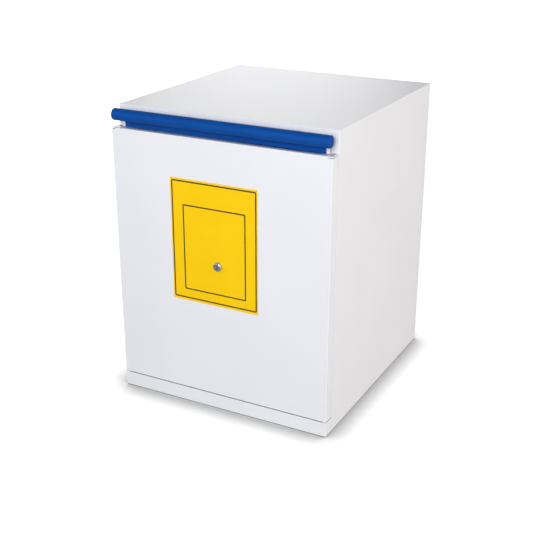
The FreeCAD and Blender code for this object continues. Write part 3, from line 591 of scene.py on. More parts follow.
@dataclass(frozen=True)
class StudioPaper(Finish):
    """White background paper with a painted glow, nearly blown out: matt, with a soft tooth.

    It looks white, but throws only part of its light back at the cabinet, as a floor between black
    flags does, so that undersides stay dark.
    """

    name: str = "white_studio_paper"
    slot: Slot = Slot.COAT
    colour: str = "CDCDCD"
    roughness: float = 0.9
    shade: str = "C9C9C9"
    shine: float = 0.1
    tooth: float = 2.5
    # Painted light: the paper's glow from near to far; painted shade: the contact shadow's reach and
    # power.
    glow: float = 0.74
    far_glow: float = 0.9
    near: float = 0.6
    far: float = 4.0
    flagged: str = "A8A9AB"
    painted_shade_reach: float = 0.08
    painted_shade_power: float = 1.5

    def draw(self, canvas: Canvas) -> None:
        """Draws the paper's tooth, its painted glow, a painted contact shadow at the cabinet's foot
        and the flags' loss.

        Args:
            canvas: The material to draw on.
        """
        tree = canvas.tree
        paper = canvas.blend(canvas.spread(canvas.noise(self.tooth)), self.colour, self.shade)
        # The paper's colour and glow darken with the occlusion near the cabinet: a painted contact
        # shadow at its foot.
        open_room = add_node(tree, "ShaderNodeAmbientOcclusion",
                             {"Distance": self.painted_shade_reach}).outputs["AO"]
        open_share = add_node(tree, "ShaderNodeMath", {1: self.painted_shade_power}, {0: open_room},
                              operation="POWER").outputs["Value"]
        paper_with_painted_shade = add_node(tree, "ShaderNodeMix", {MIX_FIRST: linear("000000")},
                          {MIX_FACTOR: open_share, MIX_SECOND: paper}, data_type="RGBA")
        canvas.feed(paper_with_painted_shade.outputs[MIX_COLOUR], "Base Color")
        away = add_node(tree, "ShaderNodeVectorMath", links={0: canvas.place},
                        operation="LENGTH").outputs["Value"]
        # The glow rises from the near floor to the far floor: painted light that keeps the far floor
        # white where the lamps fall off.
        glow = canvas.spread(away, self.glow, self.far_glow, self.near, self.far)
        lit = add_node(tree, "ShaderNodeMath", links={0: glow, 1: open_share},
                       operation="MULTIPLY").outputs["Value"]
        canvas.shader.inputs["Emission Color"].default_value = linear("FFFFFF")
        canvas.feed(lit, "Emission Strength")
        bounce = add_node(tree, "ShaderNodeBsdfDiffuse", {"Color": linear(self.flagged)})
        seen = add_node(tree, "ShaderNodeLightPath").outputs["Is Camera Ray"]
        mixed = add_node(tree, "ShaderNodeMixShader", links={
            0: seen, 1: bounce.outputs["BSDF"], 2: canvas.shader.outputs["BSDF"]})
        tree.links.new(mixed.outputs["Shader"], tree.nodes["Material Output"].inputs["Surface"])


# Modelling by hand


def select_only(piece: bpy.types.Object) -> None:
    """Leaves one object selected and active.

    Args:
        piece: The object to select.
    """
    bpy.ops.object.select_all(action="DESELECT")
    piece.select_set(True)
    bpy.context.view_layer.objects.active = piece


def take_new(name: str) -> bpy.types.Object:
    """Names the primitive that was just added and puts its place into its mesh.

    Args:
        name: The name of the object and of its mesh.

    Returns:
        The object, selected and active.
    """
    piece = bpy.context.active_object
    piece.name = name
    piece.data.name = name
    select_only(piece)
    bpy.ops.object.transform_apply(location=True, rotation=True, scale=True)
    return piece


class Bench:
    """One piece held in edit mode, where faces or edges are picked by place before each step."""

    def __init__(self, piece: bpy.types.Object) -> None:
        """Keeps the piece."""
        self.piece = piece

    def __enter__(self) -> "Bench":
        """Opens the piece for editing.

        Returns:
            The bench itself.
        """
        select_only(self.piece)
        bpy.ops.object.mode_set(mode="EDIT")
        bpy.ops.mesh.select_mode(type="VERT")
        return self

    def __exit__(self, *error: object) -> None:
        """Closes the piece again."""
        bpy.ops.object.mode_set(mode="OBJECT")

    def pick_faces(self, wanted: Callable[[Vector, Vector], bool]) -> None:
        """Selects the faces that suit and nothing else.

        Args:
            wanted: Says from a face's middle and normal whether it is picked.
        """
        bpy.ops.mesh.select_mode(type="FACE")
        bpy.ops.mesh.select_all(action="DESELECT")
        mesh = bmesh.from_edit_mesh(self.piece.data)
        for face in mesh.faces:
            if wanted(face.calc_center_median(), face.normal):
                face.select_set(True)
        bmesh.update_edit_mesh(self.piece.data)

    def pick_edges(self, wanted: Callable[[Vector, Vector], bool]) -> None:
        """Selects the edges that suit and nothing else.

        Args:
            wanted: Says from an edge's two ends whether it is picked.
        """
        bpy.ops.mesh.select_mode(type="EDGE")
        bpy.ops.mesh.select_all(action="DESELECT")
        mesh = bmesh.from_edit_mesh(self.piece.data)
        for edge in mesh.edges:
            if wanted(edge.verts[0].co, edge.verts[1].co):
                edge.select_set(True)
        bmesh.update_edit_mesh(self.piece.data)

    def pull(self, way: Sequence[float]) -> None:
        """Extrudes what is picked by a step in millimetres."""
        bpy.ops.mesh.extrude_region_move(
            TRANSFORM_OT_translate={"value": tuple(part * MM for part in way)})

    def size(self, share: Sequence[float], centre: Sequence[float]) -> None:
        """Scales what is picked about a centre in millimetres."""
        bpy.ops.transform.resize(value=tuple(share), center_override=tuple(
            part * MM for part in centre))

    def slice(self, at: Sequence[float], normal: Sequence[float]) -> None:
        """Cuts every face along a plane through a point in millimetres."""
        bpy.ops.mesh.select_all(action="SELECT")
        bpy.ops.mesh.bisect(plane_co=tuple(part * MM for part in at), plane_no=tuple(normal))

    def close_up(self) -> None:
        """Joins points that lie together and turns every face outwards."""
        bpy.ops.mesh.select_all(action="SELECT")
        bpy.ops.mesh.remove_doubles(threshold=CLOSE)
        bpy.ops.mesh.normals_make_consistent(inside=False)


def start_box(name: str, low: Point, high: Point) -> bpy.types.Object:
    """Adds a box to start from.

    Args:
        name: The piece's name.
        low: Its lowest corner in millimetres.
        high: Its highest corner in millimetres.

    Returns:
        The box, ready to be shaped.
    """
    centre = [(least + most) / 2 * MM for least, most in zip(low, high)]
    size = [(most - least) * MM for least, most in zip(low, high)]
    bpy.ops.object.select_all(action="DESELECT")
    bpy.ops.mesh.primitive_cube_add(size=1.0, location=centre, scale=size)
    return take_new(name)


def start_plate(name: str, left: float, right: float, bottom: float, top: float, near: float,
                far: float, corner: float) -> bpy.types.Object:
    """Adds an upright plate with rounded corners, parallel to the front.

    Args:
        name: The piece's name.
        left: Its left edge in millimetres.
        right: Its right edge.
        bottom: Its lower edge.
        top: Its upper edge.
        near: Its face towards the front.
        far: Its face towards the back.
        corner: The radius of its corners.

    Returns:
        The plate, ready to be shaped.
    """
    plate = start_box(name, (left, near, bottom), (right, far, top))
    with Bench(plate) as bench:
        bench.pick_edges(lambda one, other: abs(one.x - other.x) < CLOSE
                         and abs(one.z - other.z) < CLOSE)
        bpy.ops.mesh.bevel(offset=corner * MM, segments=5, affect="EDGES")
    return plate


def turn_piece(name: str, centre: Point, axis: Axis, stations: Sequence[tuple[float, float]],
               sides: int = 48, solid: bool = True) -> bpy.types.Object:
    """Turns a piece as on a lathe: a circle, pulled and scaled from one station to the next.

    Args:
        name: The piece's name.
        centre: Where its axis starts, in millimetres.
        axis: The way that it grows.
        stations: Distance along the axis and radius at each station, in millimetres.
        sides: How many corners its circle has.
        solid: True to keep the first and last circle filled, False for a ring whose last
            station meets the first.

    Returns:
        The turned piece with its faces outwards.
    """
    way = axis.direction
    first_along, radius = stations[0]
    spot = Vector(centre) + way * first_along
    bpy.ops.object.select_all(action="DESELECT")
    bpy.ops.mesh.primitive_circle_add(
        vertices=sides, radius=radius * MM, fill_type="NGON" if solid else "NOTHING",
        location=spot * MM, rotation=axis.turn)
    piece = take_new(name)
    across = [1.0 if abs(part) < 0.5 else 0.0 for part in way]
    with Bench(piece) as bench:
        bpy.ops.mesh.select_all(action="SELECT")
        along = first_along
        for next_along, next_radius in stations[1:]:
            bench.pull(way * (next_along - along))
            share = next_radius / radius
            spot = Vector(centre) + way * next_along
            bench.size([1 + (share - 1) * part for part in across], spot)
            along, radius = next_along, next_radius
        bench.close_up()
    return piece


def use_modifier(piece: bpy.types.Object, kind: str, **settings: Any) -> None:
    """Adds a modifier with its settings and applies it.

    Args:
        piece: The piece that gets it.
        kind: The modifier's type, such as "BEVEL".
        settings: Its properties.
    """
    select_only(piece)
    modifier = piece.modifiers.new(kind.title(), kind)
    for name, value in settings.items():
        setattr(modifier, name, value)
    bpy.ops.object.modifier_apply(modifier=modifier.name)


def bevel(piece: bpy.types.Object, width: float, angle: float = 30.0) -> None:
    """Rounds a piece's hard edges with two faces each.

    Args:
        piece: The piece to round.
        width: The rounding's width in millimetres.
        angle: The sharpest bend, in degrees, that stays unrounded.
    """
    use_modifier(piece, "BEVEL", width=width * MM, segments=2, limit_method="ANGLE",
                 angle_limit=math.radians(angle))


def smooth(piece: bpy.types.Object, angle: float = 40.0) -> None:
    """Smooths a piece's curved faces and keeps its flat faces flat.

    Args:
        piece: The piece to smooth.
        angle: The sharpest bend, in degrees, that still looks smooth.
    """
    select_only(piece)
    bpy.ops.object.shade_smooth_by_angle(angle=math.radians(angle))
    use_modifier(piece, "WEIGHTED_NORMAL", keep_sharp=True, weight=80)


def cut(piece: bpy.types.Object, cutter: bpy.types.Object) -> None:
    """Cuts one piece out of another and throws the cutter away."""
    use_modifier(piece, "BOOLEAN", operation="DIFFERENCE", object=cutter, solver="EXACT")
    bpy.data.objects.remove(cutter)


def join(piece: bpy.types.Object, *others: bpy.types.Object) -> None:
    """Makes several meshes one piece, named after the first.

    Args:
        piece: The piece that takes in the others.
        others: The pieces that become part of it.
    """
    select_only(piece)
    for other in others:
        other.select_set(True)
    bpy.ops.object.join()


def copy_piece(piece: bpy.types.Object, name: str, place: Point,
               axis: Axis = Axis.FRONT) -> bpy.types.Object:
    """Copies a piece that was modelled at the origin and facing the front.

    Args:
        piece: The modelled piece.
        name: The copy's name.
        place: Where it goes, in millimetres.
        axis: The way that it faces there.

    Returns:
        The copy, with a mesh of its own.
    """
    select_only(piece)
    bpy.ops.object.duplicate(linked=False)
    twin = bpy.context.active_object
    facing = Euler(axis.turn).to_matrix() @ Euler(Axis.FRONT.turn).to_matrix().inverted()
    twin.matrix_world = Matrix.Translation(Vector(place) * MM) @ facing.to_4x4()
    return take_new(name)


def hand_over(piece: bpy.types.Object, body: Body, finish: Finish,
              replaces: Sequence[str] = ()) -> bpy.types.Object:
    """Gives a finished piece its material and body, and hides the frame's nodes that it stands for.

    Args:
        piece: The finished mesh.
        body: The body that carries it.
        finish: Its finish; a piece that has materials already keeps them.
        replaces: The frame's nodes that it stands for.

    Returns:
        The same piece.
    """
    if not piece.data.materials:
        piece.data.materials.append(finish.make())
    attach(piece, body.value)
    if replaces:
        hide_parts(*replaces)
    LOG.info("%s: %d faces on %s", piece.name, len(piece.data.polygons), body.value)
    return piece


# The frame's own nodes


@dataclass(frozen=True)
class FrameDressing:
    """Gives each node of the frame the finish of its slot."""

    finishes: ClassVar[tuple[Finish, ...]] = (
        PowderCoat(), GripPlastic(), ChromePlate(), ZincPlate(), Polypropylene(), SealFoam(),
        GuideNylon())

    def dress(self, nodes: dict[str, bpy.types.Object]) -> None:
        """Assigns a finish to every material slot of every node.

        Args:
            nodes: The frame's nodes by name.
        """
        by_slot = {finish.slot.value: finish for finish in self.finishes}
        for name, node in nodes.items():
            for place in node.material_slots:
                slot = place.material.name.split(".")[0]
                place.material = by_slot[slot].make()
            LOG.info("%s: finish %s", name, node.material_slots[0].material.name)


# The front's pan


@dataclass(frozen=True)
class FrontPan:
    """The front's folded pan, with the narrow slots that its top corners keep from folding."""

    half_width: float = 280.0
    near: float = -295.5
    far: float = -265.5
    level: float = 668.0
    slot: float = 1.5
    reach: float = 10.0
    depth: float = 3.0
    overrun: float = 1.0

    def build(self, node: bpy.types.Object) -> None:
        """Copies the frame's pan, merges its mesh and cuts both corner slots.

        Args:
            node: The frame's own pan.
        """
        pan = bpy.data.objects.new("front_pan", node.data.copy())
        bpy.context.collection.objects.link(pan)
        with Bench(pan) as bench:
            bench.close_up()
        for side in (-1, 1):
            outside = side * (self.half_width + self.overrun)
            self.cut_slot(pan, outside, side * (self.half_width - self.depth),
                          self.far + self.overrun)
            self.cut_slot(pan, outside, side * (self.half_width - self.reach),
                          self.near + self.depth)
        smooth(pan, 35)
        hand_over(pan, Body.DRAWER, PowderCoat(), ["front_panel"])

    def cut_slot(self, pan: bpy.types.Object, outside: float, inside: float, far: float) -> None:
        """Cuts one straight stretch of a slot.

        Args:
            pan: The pan to cut.
            outside: Where the cut starts across the front, in millimetres.
            inside: Where it ends across the front.
            far: How far back it reaches.
        """
        low = (min(outside, inside), self.near - self.overrun, self.level - self.slot / 2)
        high = (max(outside, inside), far, self.level + self.slot / 2)
        cut(pan, start_box("slot_cutter", low, high))


# The blue grip


@dataclass(frozen=True)
class Grip:
    """The extruded grip along the top of the front, with its end caps."""

    radius: float = 14.0
    wall: float = 2.0
    half_length: float = 272.5
    axis_y: float = -290.5
    axis_z: float = 701.5
    leg_half: float = 255.5
    leg_front: float = -275.5
    leg_back: float = -268.5
    leg_bottom: float = 671.4
    leg_top: float = 706.0
    slot_front: float = -272.95
    slot_back: float = -270.95
    slot_top: float = 695.0
    neck_bottom: float = 697.0
    neck: float = 3.0
    tube_round: float = 0.4
    leg_round: float = 0.5
    cap: float = 2.0
    cap_round: float = 1.9
    # Steps of the cap's dome, as shares of its rounding back from its end and in from its rim
    dome: tuple[tuple[float, float], ...] = (
        (1.0, 0.0), (0.62, 0.07), (0.29, 0.29), (0.07, 0.62), (0.0, 1.4))
    plug_fit: float = 0.15
    # The plug in the bore, as distance from the cap and step in from the plug's radius
    plug: tuple[tuple[float, float], ...] = (
        (-10.0, 1.0), (-9.0, 0.0), (-6.0, 0.0), (-5.5, 0.4), (-5.0, 0.0), (0.0, 0.0))

    def build(self) -> None:
        """Models the tube with its leg, and both caps."""
        leg = self.make_leg()
        tube = self.make_tube()
        join(tube, leg)
        smooth(tube)
        hand_over(tube, Body.DRAWER, GripPlastic(), ["grip_profile"])
        for name, axis in (("left", Axis.LEFT), ("right", Axis.RIGHT)):
            self.make_cap(name, axis)

    def make_tube(self) -> bpy.types.Object:
        """Models the round tube, open at both ends.

        Returns:
            The tube.
        """
        inner = self.radius - self.wall
        end = self.half_length * 2
        tube = turn_piece("grip_tube", (-self.half_length, self.axis_y, self.axis_z), Axis.RIGHT, [
            (0, inner), (0, self.radius), (end, self.radius), (end, inner), (0, inner)],
            sides=72, solid=False)
        bevel(tube, self.tube_round, 60)
        return tube

    def make_leg(self) -> bpy.types.Object:
        """Models the two-leaved leg that sits on the steel upstand.

        Returns:
            The leg, whose neck reaches into the tube's wall.
        """
        leg = start_box("grip_leg", (-self.leg_half, self.leg_front, self.leg_bottom),
                        (self.leg_half, self.leg_back, self.leg_top))
        middle = (self.slot_front + self.slot_back) / 2 * MM
        with Bench(leg) as bench:
            bench.slice((0, self.slot_front, 0), (0, 1, 0))
            bench.slice((0, self.slot_back, 0), (0, 1, 0))
            bench.slice((0, 0, self.neck_bottom), (0, 0, 1))
            bench.pick_faces(lambda spot, way: way.z < -FACING and abs(spot.y - middle) < CLOSE)
            bench.pull((0, 0, self.slot_top - self.leg_bottom))
            bench.pick_faces(lambda spot, way: way.y < -FACING and spot.z > self.neck_bottom * MM)
            bench.pull((0, -self.neck, 0))
            bench.close_up()
        bevel(leg, self.leg_round, 40)
        return leg

    def make_cap(self, name: str, axis: Axis) -> None:
        """Models one end cap, domed at its rim, with a grooved plug in the bore.

        Args:
            name: The side that it closes.
            axis: The way that it faces.
        """
        plug = self.radius - self.wall - self.plug_fit
        start = (self.half_length * axis.direction.x, self.axis_y, self.axis_z)
        stations = [(along, plug - inset) for along, inset in self.plug]
        stations.append((0, self.radius))
        stations += [(self.cap - self.cap_round * back, self.radius - self.cap_round * inward)
                     for back, inward in self.dome]
        cap = turn_piece(f"end_cap_{name}", start, axis, stations, sides=72)
        smooth(cap, 30)
        hand_over(cap, Body.DRAWER, GripPlastic(), [f"grip_cap_{name}"])


# The yellow sheet


@dataclass(frozen=True)
class YellowSheet:
    """The yellow film round the lock, printed with two frame lines and otherwise bare."""

    left: float = -124.5
    right: float = 103.5
    bottom: float = 274.5
    top: float = 574.0
    face: float = -295.5
    thickness: float = 0.3
    corner: float = 2.0
    margin: float = 3.2
    margin_top: float = 4.8
    margin_bottom: float = 5.6
    line: float = 3.2
    ink: float = 0.06
    line_corner: float = 4.0
    inner_corner: float = 3.4
    frame_left: float = -92.5
    frame_right: float = 72.5
    frame_bottom: float = 303.0
    frame_top: float = 513.0
    lock_level: float = 376.0
    lock_hole: float = 9.8
    # The cutters reach this far past the film, and no inner corner is sharper than the least one
    hole_reach: float = 2.0
    hole_length: float = 6.0
    overrun: float = 1.0
    least_corner: float = 0.3

    def build(self) -> None:
        """Models the sheet, cuts the hole for the lock's barrel and prints both frame lines."""
        front = self.face - self.thickness
        sheet = start_plate("yellow_sheet", self.left, self.right, self.bottom, self.top,
                            front, self.face, self.corner)
        hole = turn_piece("lock_hole", (0, self.face + self.hole_reach, self.lock_level),
                          Axis.FRONT, [(0, self.lock_hole), (self.hole_length, self.lock_hole)])
        cut(sheet, hole)
        sheet.data.materials.append(YellowVinyl().make())
        join(sheet, self.print_line(
            "outer_line", self.left + self.margin, self.right - self.margin,
            self.bottom + self.margin_bottom, self.top - self.margin_top,
            self.line_corner), self.print_line(
            "inner_line", self.frame_left, self.frame_right, self.frame_bottom, self.frame_top,
            self.inner_corner))
        hand_over(sheet, Body.DRAWER, YellowVinyl())

    def print_line(self, name: str, left: float, right: float, bottom: float, top: float,
                   corner: float) -> bpy.types.Object:
        """Models one printed frame line as a film of ink.

        Args:
            name: The line's name.
            left: Its outer left edge in millimetres.
            right: Its outer right edge.
            bottom: Its outer lower edge.
            top: Its outer upper edge.
            corner: The outer radius of its corners.

        Returns:
            The line, in black ink.
        """
        front = self.face - self.thickness
        wide = self.line
        ring = start_plate(name, left, right, bottom, top, front - self.ink, front, corner)
        ring.data.materials.append(BlackInk().make())
        middle = start_plate(f"{name}_cutter", left + wide, right - wide, bottom + wide,
                             top - wide, front - self.overrun, front + self.overrun,
                             max(corner - wide, self.least_corner))
        cut(ring, middle)
        return ring


# The lock


@dataclass(frozen=True)
class LockFront:
    """The chrome lock: a rounded crown with its barrel, and the plug with its keyway."""

    level: float = 376.0
    face: float = -295.5
    head: float = 11.0
    proud: float = 8.5
    barrel: float = 9.5
    barrel_length: float = 24.0
    bore: float = 6.6
    plug: float = 6.5
    plug_recess: float = 0.6
    keyway_width: float = 2.0
    keyway_height: float = 8.0
    keyway_depth: float = 7.0
    spindle: float = 3.0
    spindle_end: float = -256.0
    spindle_round: float = 0.4
    # The crown's bead, as distance from the front's face and step in from the head's radius
    bead: tuple[tuple[float, float], ...] = (
        (0.0, 0.4), (0.4, 0.0), (1.6, 0.0), (1.9, 0.35), (2.2, 0.1))
    # The crown's slope, as distance back from its end and step in from the head's radius
    slope: tuple[tuple[float, float], ...] = ((2.2, 0.3), (1.2, 0.7), (0.4, 1.7), (0.0, 3.0))
    lip: float = 0.4
    plug_edge: float = 0.3
    # Places along half the keyway's height: where it is cut into bands, and its two wards
    band_edges: tuple[float, ...] = (-0.45, -0.05, 0.35)
    wards: tuple[tuple[float, int], ...] = ((-0.25, 1), (0.15, -1))
    ward_depth: float = 0.8
    ward_reach: float = 0.3
    overrun: float = 1.0

    def build(self) -> None:
        """Models the crown and the plug."""
        centre = (0.0, self.face, self.level)
        stations = [(-self.barrel_length, self.bore), (-self.barrel_length, self.barrel),
                    (0, self.barrel)]
        stations += [(along, self.head - inset) for along, inset in self.bead]
        stations += [(self.proud - back, self.head - inset) for back, inset in self.slope]
        stations += [(self.proud, self.bore + self.lip), (self.proud - self.lip, self.bore),
                     (-self.barrel_length, self.bore)]
        crown = turn_piece("lock_crown", centre, Axis.FRONT, stations, sides=64, solid=False)
        smooth(crown, 35)
        hand_over(crown, Body.DRAWER, ChromePlate(), ["lock_housing"])
        self.make_plug()

    def make_plug(self) -> None:
        """Models the turning plug, its keyway and its square spindle."""
        front = self.proud - self.plug_recess
        start = (0.0, self.face, self.level)
        plug = turn_piece("lock_core", start, Axis.FRONT, [
            (-self.barrel_length, self.plug), (front - self.plug_edge, self.plug),
            (front, self.plug - self.plug_edge)], sides=48)
        slot = start_box("keyway_cutter", (
            -self.keyway_width / 2, self.face - front - self.overrun,
            self.level - self.keyway_height / 2), (
            self.keyway_width / 2, self.face - front + self.keyway_depth,
            self.level + self.keyway_height / 2))
        half = self.keyway_height / 2
        with Bench(slot) as bench:
            for share in self.band_edges:
                bench.slice((0, 0, self.level + half * share), (0, 0, 1))
            for share, side in self.wards:
                level = (self.level + half * share) * MM
                bench.pick_faces(lambda spot, way, level=level, side=side: way.x * side > FACING
                                 and abs(spot.z - level) < self.ward_reach * MM)
                bench.pull((-self.ward_depth * side, 0, 0))
        cut(plug, slot)
        spindle = start_box("lock_spindle", (
            -self.spindle, self.face + self.barrel_length, self.level - self.spindle), (
            self.spindle, self.spindle_end, self.level + self.spindle))
        bevel(spindle, self.spindle_round)
        join(plug, spindle)
        smooth(plug, 30)
        hand_over(plug, Body.LOCK, ChromePlate(), ["lock_plug"])


# The dark strip under the front, painted shade in its gap


@dataclass(frozen=True)
class GapShadeStrip:
    """The dark foam strip on the plinth's top fold that the front closes over: a dark sheet put in
    the gap as painted shade.
    """

    half_length: float = 270.0
    near: float = -293.0
    far: float = -268.5
    bottom: float = 37.0
    top: float = 38.6
    bands: int = 5
    groove: float = 0.6
    rounding: float = 0.25

    def build(self) -> None:
        """Models the strip with its rounded upper edges and three shallow ribs."""
        strip = start_box("gap_shade_strip", (-self.half_length, self.near, self.bottom),
                          (self.half_length, self.far, self.top))
        depth = self.far - self.near
        with Bench(strip) as bench:
            for band in range(1, self.bands):
                bench.slice((0, self.near + depth * (band / self.bands), 0), (0, 1, 0))
            bench.pick_faces(lambda spot, way: way.z > FACING and round(
                (spot.y / MM - self.near) / depth * self.bands - 0.5) % 2 == 1)
            bench.pull((0, 0, -self.groove))
            bench.close_up()
        bevel(strip, self.rounding)
        smooth(strip)
        # Its charcoal foam is painted shade that darkens the gap between the front and the plinth.
        hand_over(strip, Body.CASING, GapShadeFoam())


# The duct spigot


@dataclass(frozen=True)
class DuctSpigot:
    """The moulded collar at the back that an extraction duct is pushed over."""

    level: float = 630.0
    start: float = 264.0
    flange: float = 50.0
    flange_thickness: float = 3.5
    outer: float = 37.5
    inner: float = 34.5
    end: float = 302.5
    flange_edge: float = 0.6
    flange_round: float = 0.8
    root: float = 0.01
    # The lip, as distance back from the collar's end and step in from its outer radius
    lip: tuple[tuple[float, float], ...] = ((1.4, 0.0), (0.5, 0.3), (0.0, 1.0))
    mouth: float = 0.8
    mouth_depth: float = 0.6

    def build(self) -> None:
        """Models the collar with its rounded flange, moulding shoulder and thinned lip."""
        length = self.end - self.start
        thick = self.flange_thickness
        stations = [(0, self.inner), (0, self.flange - self.flange_edge),
                    (self.flange_edge, self.flange), (thick - self.flange_round, self.flange),
                    (thick, self.flange - self.flange_round), (thick, self.outer + self.root)]
        stations += [(length - back, self.outer - inset) for back, inset in self.lip]
        stations += [(length, self.inner + self.mouth), (length - self.mouth_depth, self.inner),
                     (0, self.inner)]
        collar = turn_piece("duct_collar", (0, self.start, self.level), Axis.BACK, stations,
                            sides=96, solid=False)
        smooth(collar, 30)
        hand_over(collar, Body.CASING, Polypropylene(), ["vent_collar"])


# Fasteners


@dataclass(frozen=True)
class PanScrew:
    """A pan-head screw with a cross recess, modelled once at the origin and facing the front."""

    head: float = 3.6
    height: float = 2.2
    recess: float = 0.9
    recess_depth: float = 1.2
    arm: float = 2.1
    sunk: float = 0.4
    overrun: float = 1.0
    # The head's outline, as distance from its seat and step in from its radius
    outline: tuple[tuple[float, float], ...] = (
        (0.0, 0.3), (0.5, 0.1), (0.9, 0.0), (1.65, 0.4), (2.4, 1.1), (2.6, 2.0))

    def model(self) -> bpy.types.Object:
        """Models the head and cuts the cross.

        Returns:
            The pattern, which the copies are made from.
        """
        screw = turn_piece("screw_pattern", (0, self.sunk, 0), Axis.FRONT, [
            (along, self.head - inset) for along, inset in self.outline], sides=24)
        depth = (-self.height - self.overrun, -self.height + self.recess_depth)
        upright = start_box("cross_cutter", (-self.recess / 2, depth[0], -self.arm),
                            (self.recess / 2, depth[1], self.arm))
        level = start_box("cross_cutter_level", (-self.arm, depth[0], -self.recess / 2),
                          (self.arm, depth[1], self.recess / 2))
        cut(screw, upright)
        cut(screw, level)
        smooth(screw, 35)
        return screw


@dataclass(frozen=True)
class PushRivet:
    """A shallow domed rivet, modelled once at the origin and facing the front."""

    head: float = 3.0
    sunk: float = 0.3
    # The dome's outline with its dimple, as distance from its seat and step in from its radius
    outline: tuple[tuple[float, float], ...] = (
        (0.0, 0.2), (0.4, 0.0), (0.88, 0.5), (1.3, 1.3), (1.4, 2.0), (1.1, 2.3))

    def model(self) -> bpy.types.Object:
        """Models the dome with the small dimple of its mandrel.

        Returns:
            The pattern, which the copies are made from.
        """
        rivet = turn_piece("rivet_pattern", (0, self.sunk, 0), Axis.FRONT, [
            (along, self.head - inset) for along, inset in self.outline], sides=20)
        smooth(rivet, 35)
        return rivet


@dataclass(frozen=True)
class Fasteners:
    """The screws and rivets of the spigot, lock cover, carriage, front lining and back."""

    spigot_face: float = 267.5
    spigot_level: float = 630.0
    spigot_circle: float = 43.8
    cover_face: float = -251.5
    cover_across: float = 24.5
    cover_up: float = 31.0
    lock_level: float = 376.0
    lining_face: float = -262.5
    lining_edge: float = 246.5
    lining_levels: tuple[float, ...] = (84.0, 220.0, 356.0, 492.0, 630.0)
    lining_across: float = 125.0
    lining_low: float = 72.5
    lining_high: float = 642.5
    flange_face: float = -261.0
    flange_across: float = 226.0
    flange_levels: tuple[float, ...] = (145.0, 235.0, 325.0)
    back_fold_level: float = 61.5
    back_fold_y: float = 273.0
    back_fold_across: tuple[float, ...] = (-230.0, -115.0, 0.0, 115.0, 230.0)

    def build(self) -> None:
        """Places every screw and rivet on what carries it."""
        screw = PanScrew().model()
        rivet = PushRivet().model()
        zinc = ZincPlate()
        diagonal = self.spigot_circle / math.sqrt(2)
        corners = ((1, 1), (1, -1), (-1, 1), (-1, -1))
        self.place(screw, "spigot_screw", [
            (diagonal * side, self.spigot_face, self.spigot_level + diagonal * up)
            for side, up in corners], Axis.BACK, Body.CASING, zinc)
        self.place(rivet, "cover_rivet", [
            (self.cover_across * side, self.cover_face, self.lock_level + self.cover_up * up)
            for side, up in corners], Axis.BACK, Body.DRAWER, zinc)
        self.place(screw, "carriage_screw", [
            (self.flange_across * side, self.flange_face, level)
            for side in (-1, 1) for level in self.flange_levels], Axis.BACK, Body.DRAWER, zinc)
        lining = [(self.lining_edge * side, self.lining_face, level)
                  for side in (-1, 1) for level in self.lining_levels]
        lining += [(self.lining_across * side, self.lining_face, level)
                   for side in (-1, 1) for level in (self.lining_low, self.lining_high)]
        self.place(rivet, "lining_rivet", lining, Axis.BACK, Body.DRAWER, GuideNylon())
        self.place(rivet, "back_rivet", [
            (across, self.back_fold_y, self.back_fold_level)
            for across in self.back_fold_across], Axis.UP, Body.CASING, zinc)
        for pattern in (screw, rivet):
            bpy.data.objects.remove(pattern)

    def place(self, pattern: bpy.types.Object, name: str, spots: Sequence[Point], axis: Axis,
              body: Body, finish: Finish) -> None:
        """Puts a copy of a fastener at each spot.

        Args:
            pattern: The modelled fastener.
            name: The copies' name, which gets a number from 1.
            spots: Where they sit, in millimetres.
            axis: The way that they face.
            body: The body that carries them.
            finish: Their finish.
        """
        for number, spot in enumerate(spots, 1):
            hand_over(copy_piece(pattern, f"{name}_{number}", spot, axis), body, finish)


# Studio


@dataclass(frozen=True)
class SoftBox:
    """One broad soft light."""

    name: str
    place: Point
    size: float
    power: float
    tone: str = "FFFFFF"
    aim: Point = (0.0, 0.0, 0.36)

    def hang(self) -> None:
        """Hangs the light and turns it to its aim."""
        light = bpy.data.lights.new(self.name, "AREA")
        light.shape = "DISK"
        light.size = self.size
        light.energy = self.power
        light.color = linear(self.tone)[:3]
        lamp = bpy.data.objects.new(self.name, light)
        bpy.context.collection.objects.link(lamp)
        lamp.location = self.place
        way = Vector(self.aim) - Vector(self.place)
        lamp.rotation_euler = way.to_track_quat("-Z", "Y").to_euler()


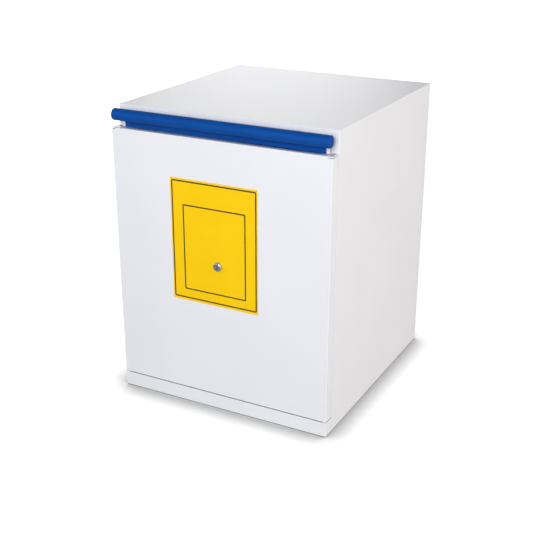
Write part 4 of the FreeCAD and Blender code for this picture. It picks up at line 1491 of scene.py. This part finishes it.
@dataclass(frozen=True)
class Studio:
    """A white floor and room, with soft boxes at the camera, to the right and behind."""

    floor_half: float = 15.0
    walls: float = 1.24
    ceiling: float = 0.05
    # The heights of the ray's direction between which the room dims from walls to ceiling
    dimming: tuple[float, float] = (0.05, 0.8)
    backdrop: float = 1.05
    boxes: tuple[SoftBox, ...] = (
        SoftBox("key_box", (0.9, -3.9, 2.1), 2.2, 104.0, "FBFCFF"),
        SoftBox("side_box", (3.3, -0.3, 1.0), 1.8, 47.0, "FFF6EC"),
        SoftBox("rear_box", (-1.9, 3.4, 0.9), 2.0, 44.0))

    def build(self) -> None:
        """Lays the floor, lights the room and sets the picture's tone."""
        bpy.ops.object.select_all(action="DESELECT")
        bpy.ops.mesh.primitive_plane_add(size=self.floor_half * 2)
        floor = take_new("studio_floor")
        floor.data.materials.append(StudioPaper().make())
        self.light_room()
        for box in self.boxes:
            box.hang()
        scene = bpy.context.scene
        scene.view_settings.view_transform = "Standard"
        scene.view_settings.look = "None"

    def light_room(self) -> None:
        """Gives the room bright walls and a dimmer ceiling, and shows the camera plain white."""
        world = bpy.data.worlds.new("bright_room")
        bpy.context.scene.world = world
        world.use_nodes = True
        tree = world.node_tree
        way = add_node(tree, "ShaderNodeTexCoord").outputs["Generated"]
        height = add_node(tree, "ShaderNodeSeparateXYZ", links={"Vector": way}).outputs["Z"]
        room = spread(tree, height, self.walls, self.ceiling, *self.dimming)
        seen = add_node(tree, "ShaderNodeLightPath").outputs["Is Camera Ray"]
        level = add_node(tree, "ShaderNodeMix", {"B": self.backdrop}, {"Factor": seen, "A": room})
        background = tree.nodes["Background"]
        tree.links.new(level.outputs["Result"], background.inputs["Strength"])
        background.inputs["Color"].default_value = linear("FFFFFF")


@dataclass(frozen=True)
class Viewpoint:
    """The photograph's viewpoint: from the right of the front and above."""

    place: Point = (1.082, -2.0955, 1.212)
    yaw: float = 27.96
    pitch: float = 22.23
    lens: float = 64.19
    sensor: float = 36.0

    def build(self) -> None:
        """Places the camera and makes it the scene's own."""
        data = bpy.data.cameras.new("viewpoint")
        data.lens = self.lens
        data.sensor_width = self.sensor
        camera = bpy.data.objects.new("viewpoint", data)
        bpy.context.collection.objects.link(camera)
        camera.location = self.place
        camera.rotation_euler = (math.radians(90 - self.pitch), 0, math.radians(self.yaw))
        bpy.context.scene.camera = camera


def main() -> None:
    logging.basicConfig(level=logging.INFO, format="%(name)s: %(message)s")
    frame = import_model()
    FrameDressing().dress(frame["nodes"])
    FrontPan().build(frame["nodes"]["front_panel"])
    Grip().build()
    YellowSheet().build()
    LockFront().build()
    GapShadeStrip().build()
    DuctSpigot().build()
    Fasteners().build()
    Studio().build()
    Viewpoint().build()


if __name__ == "__main__":
    main()
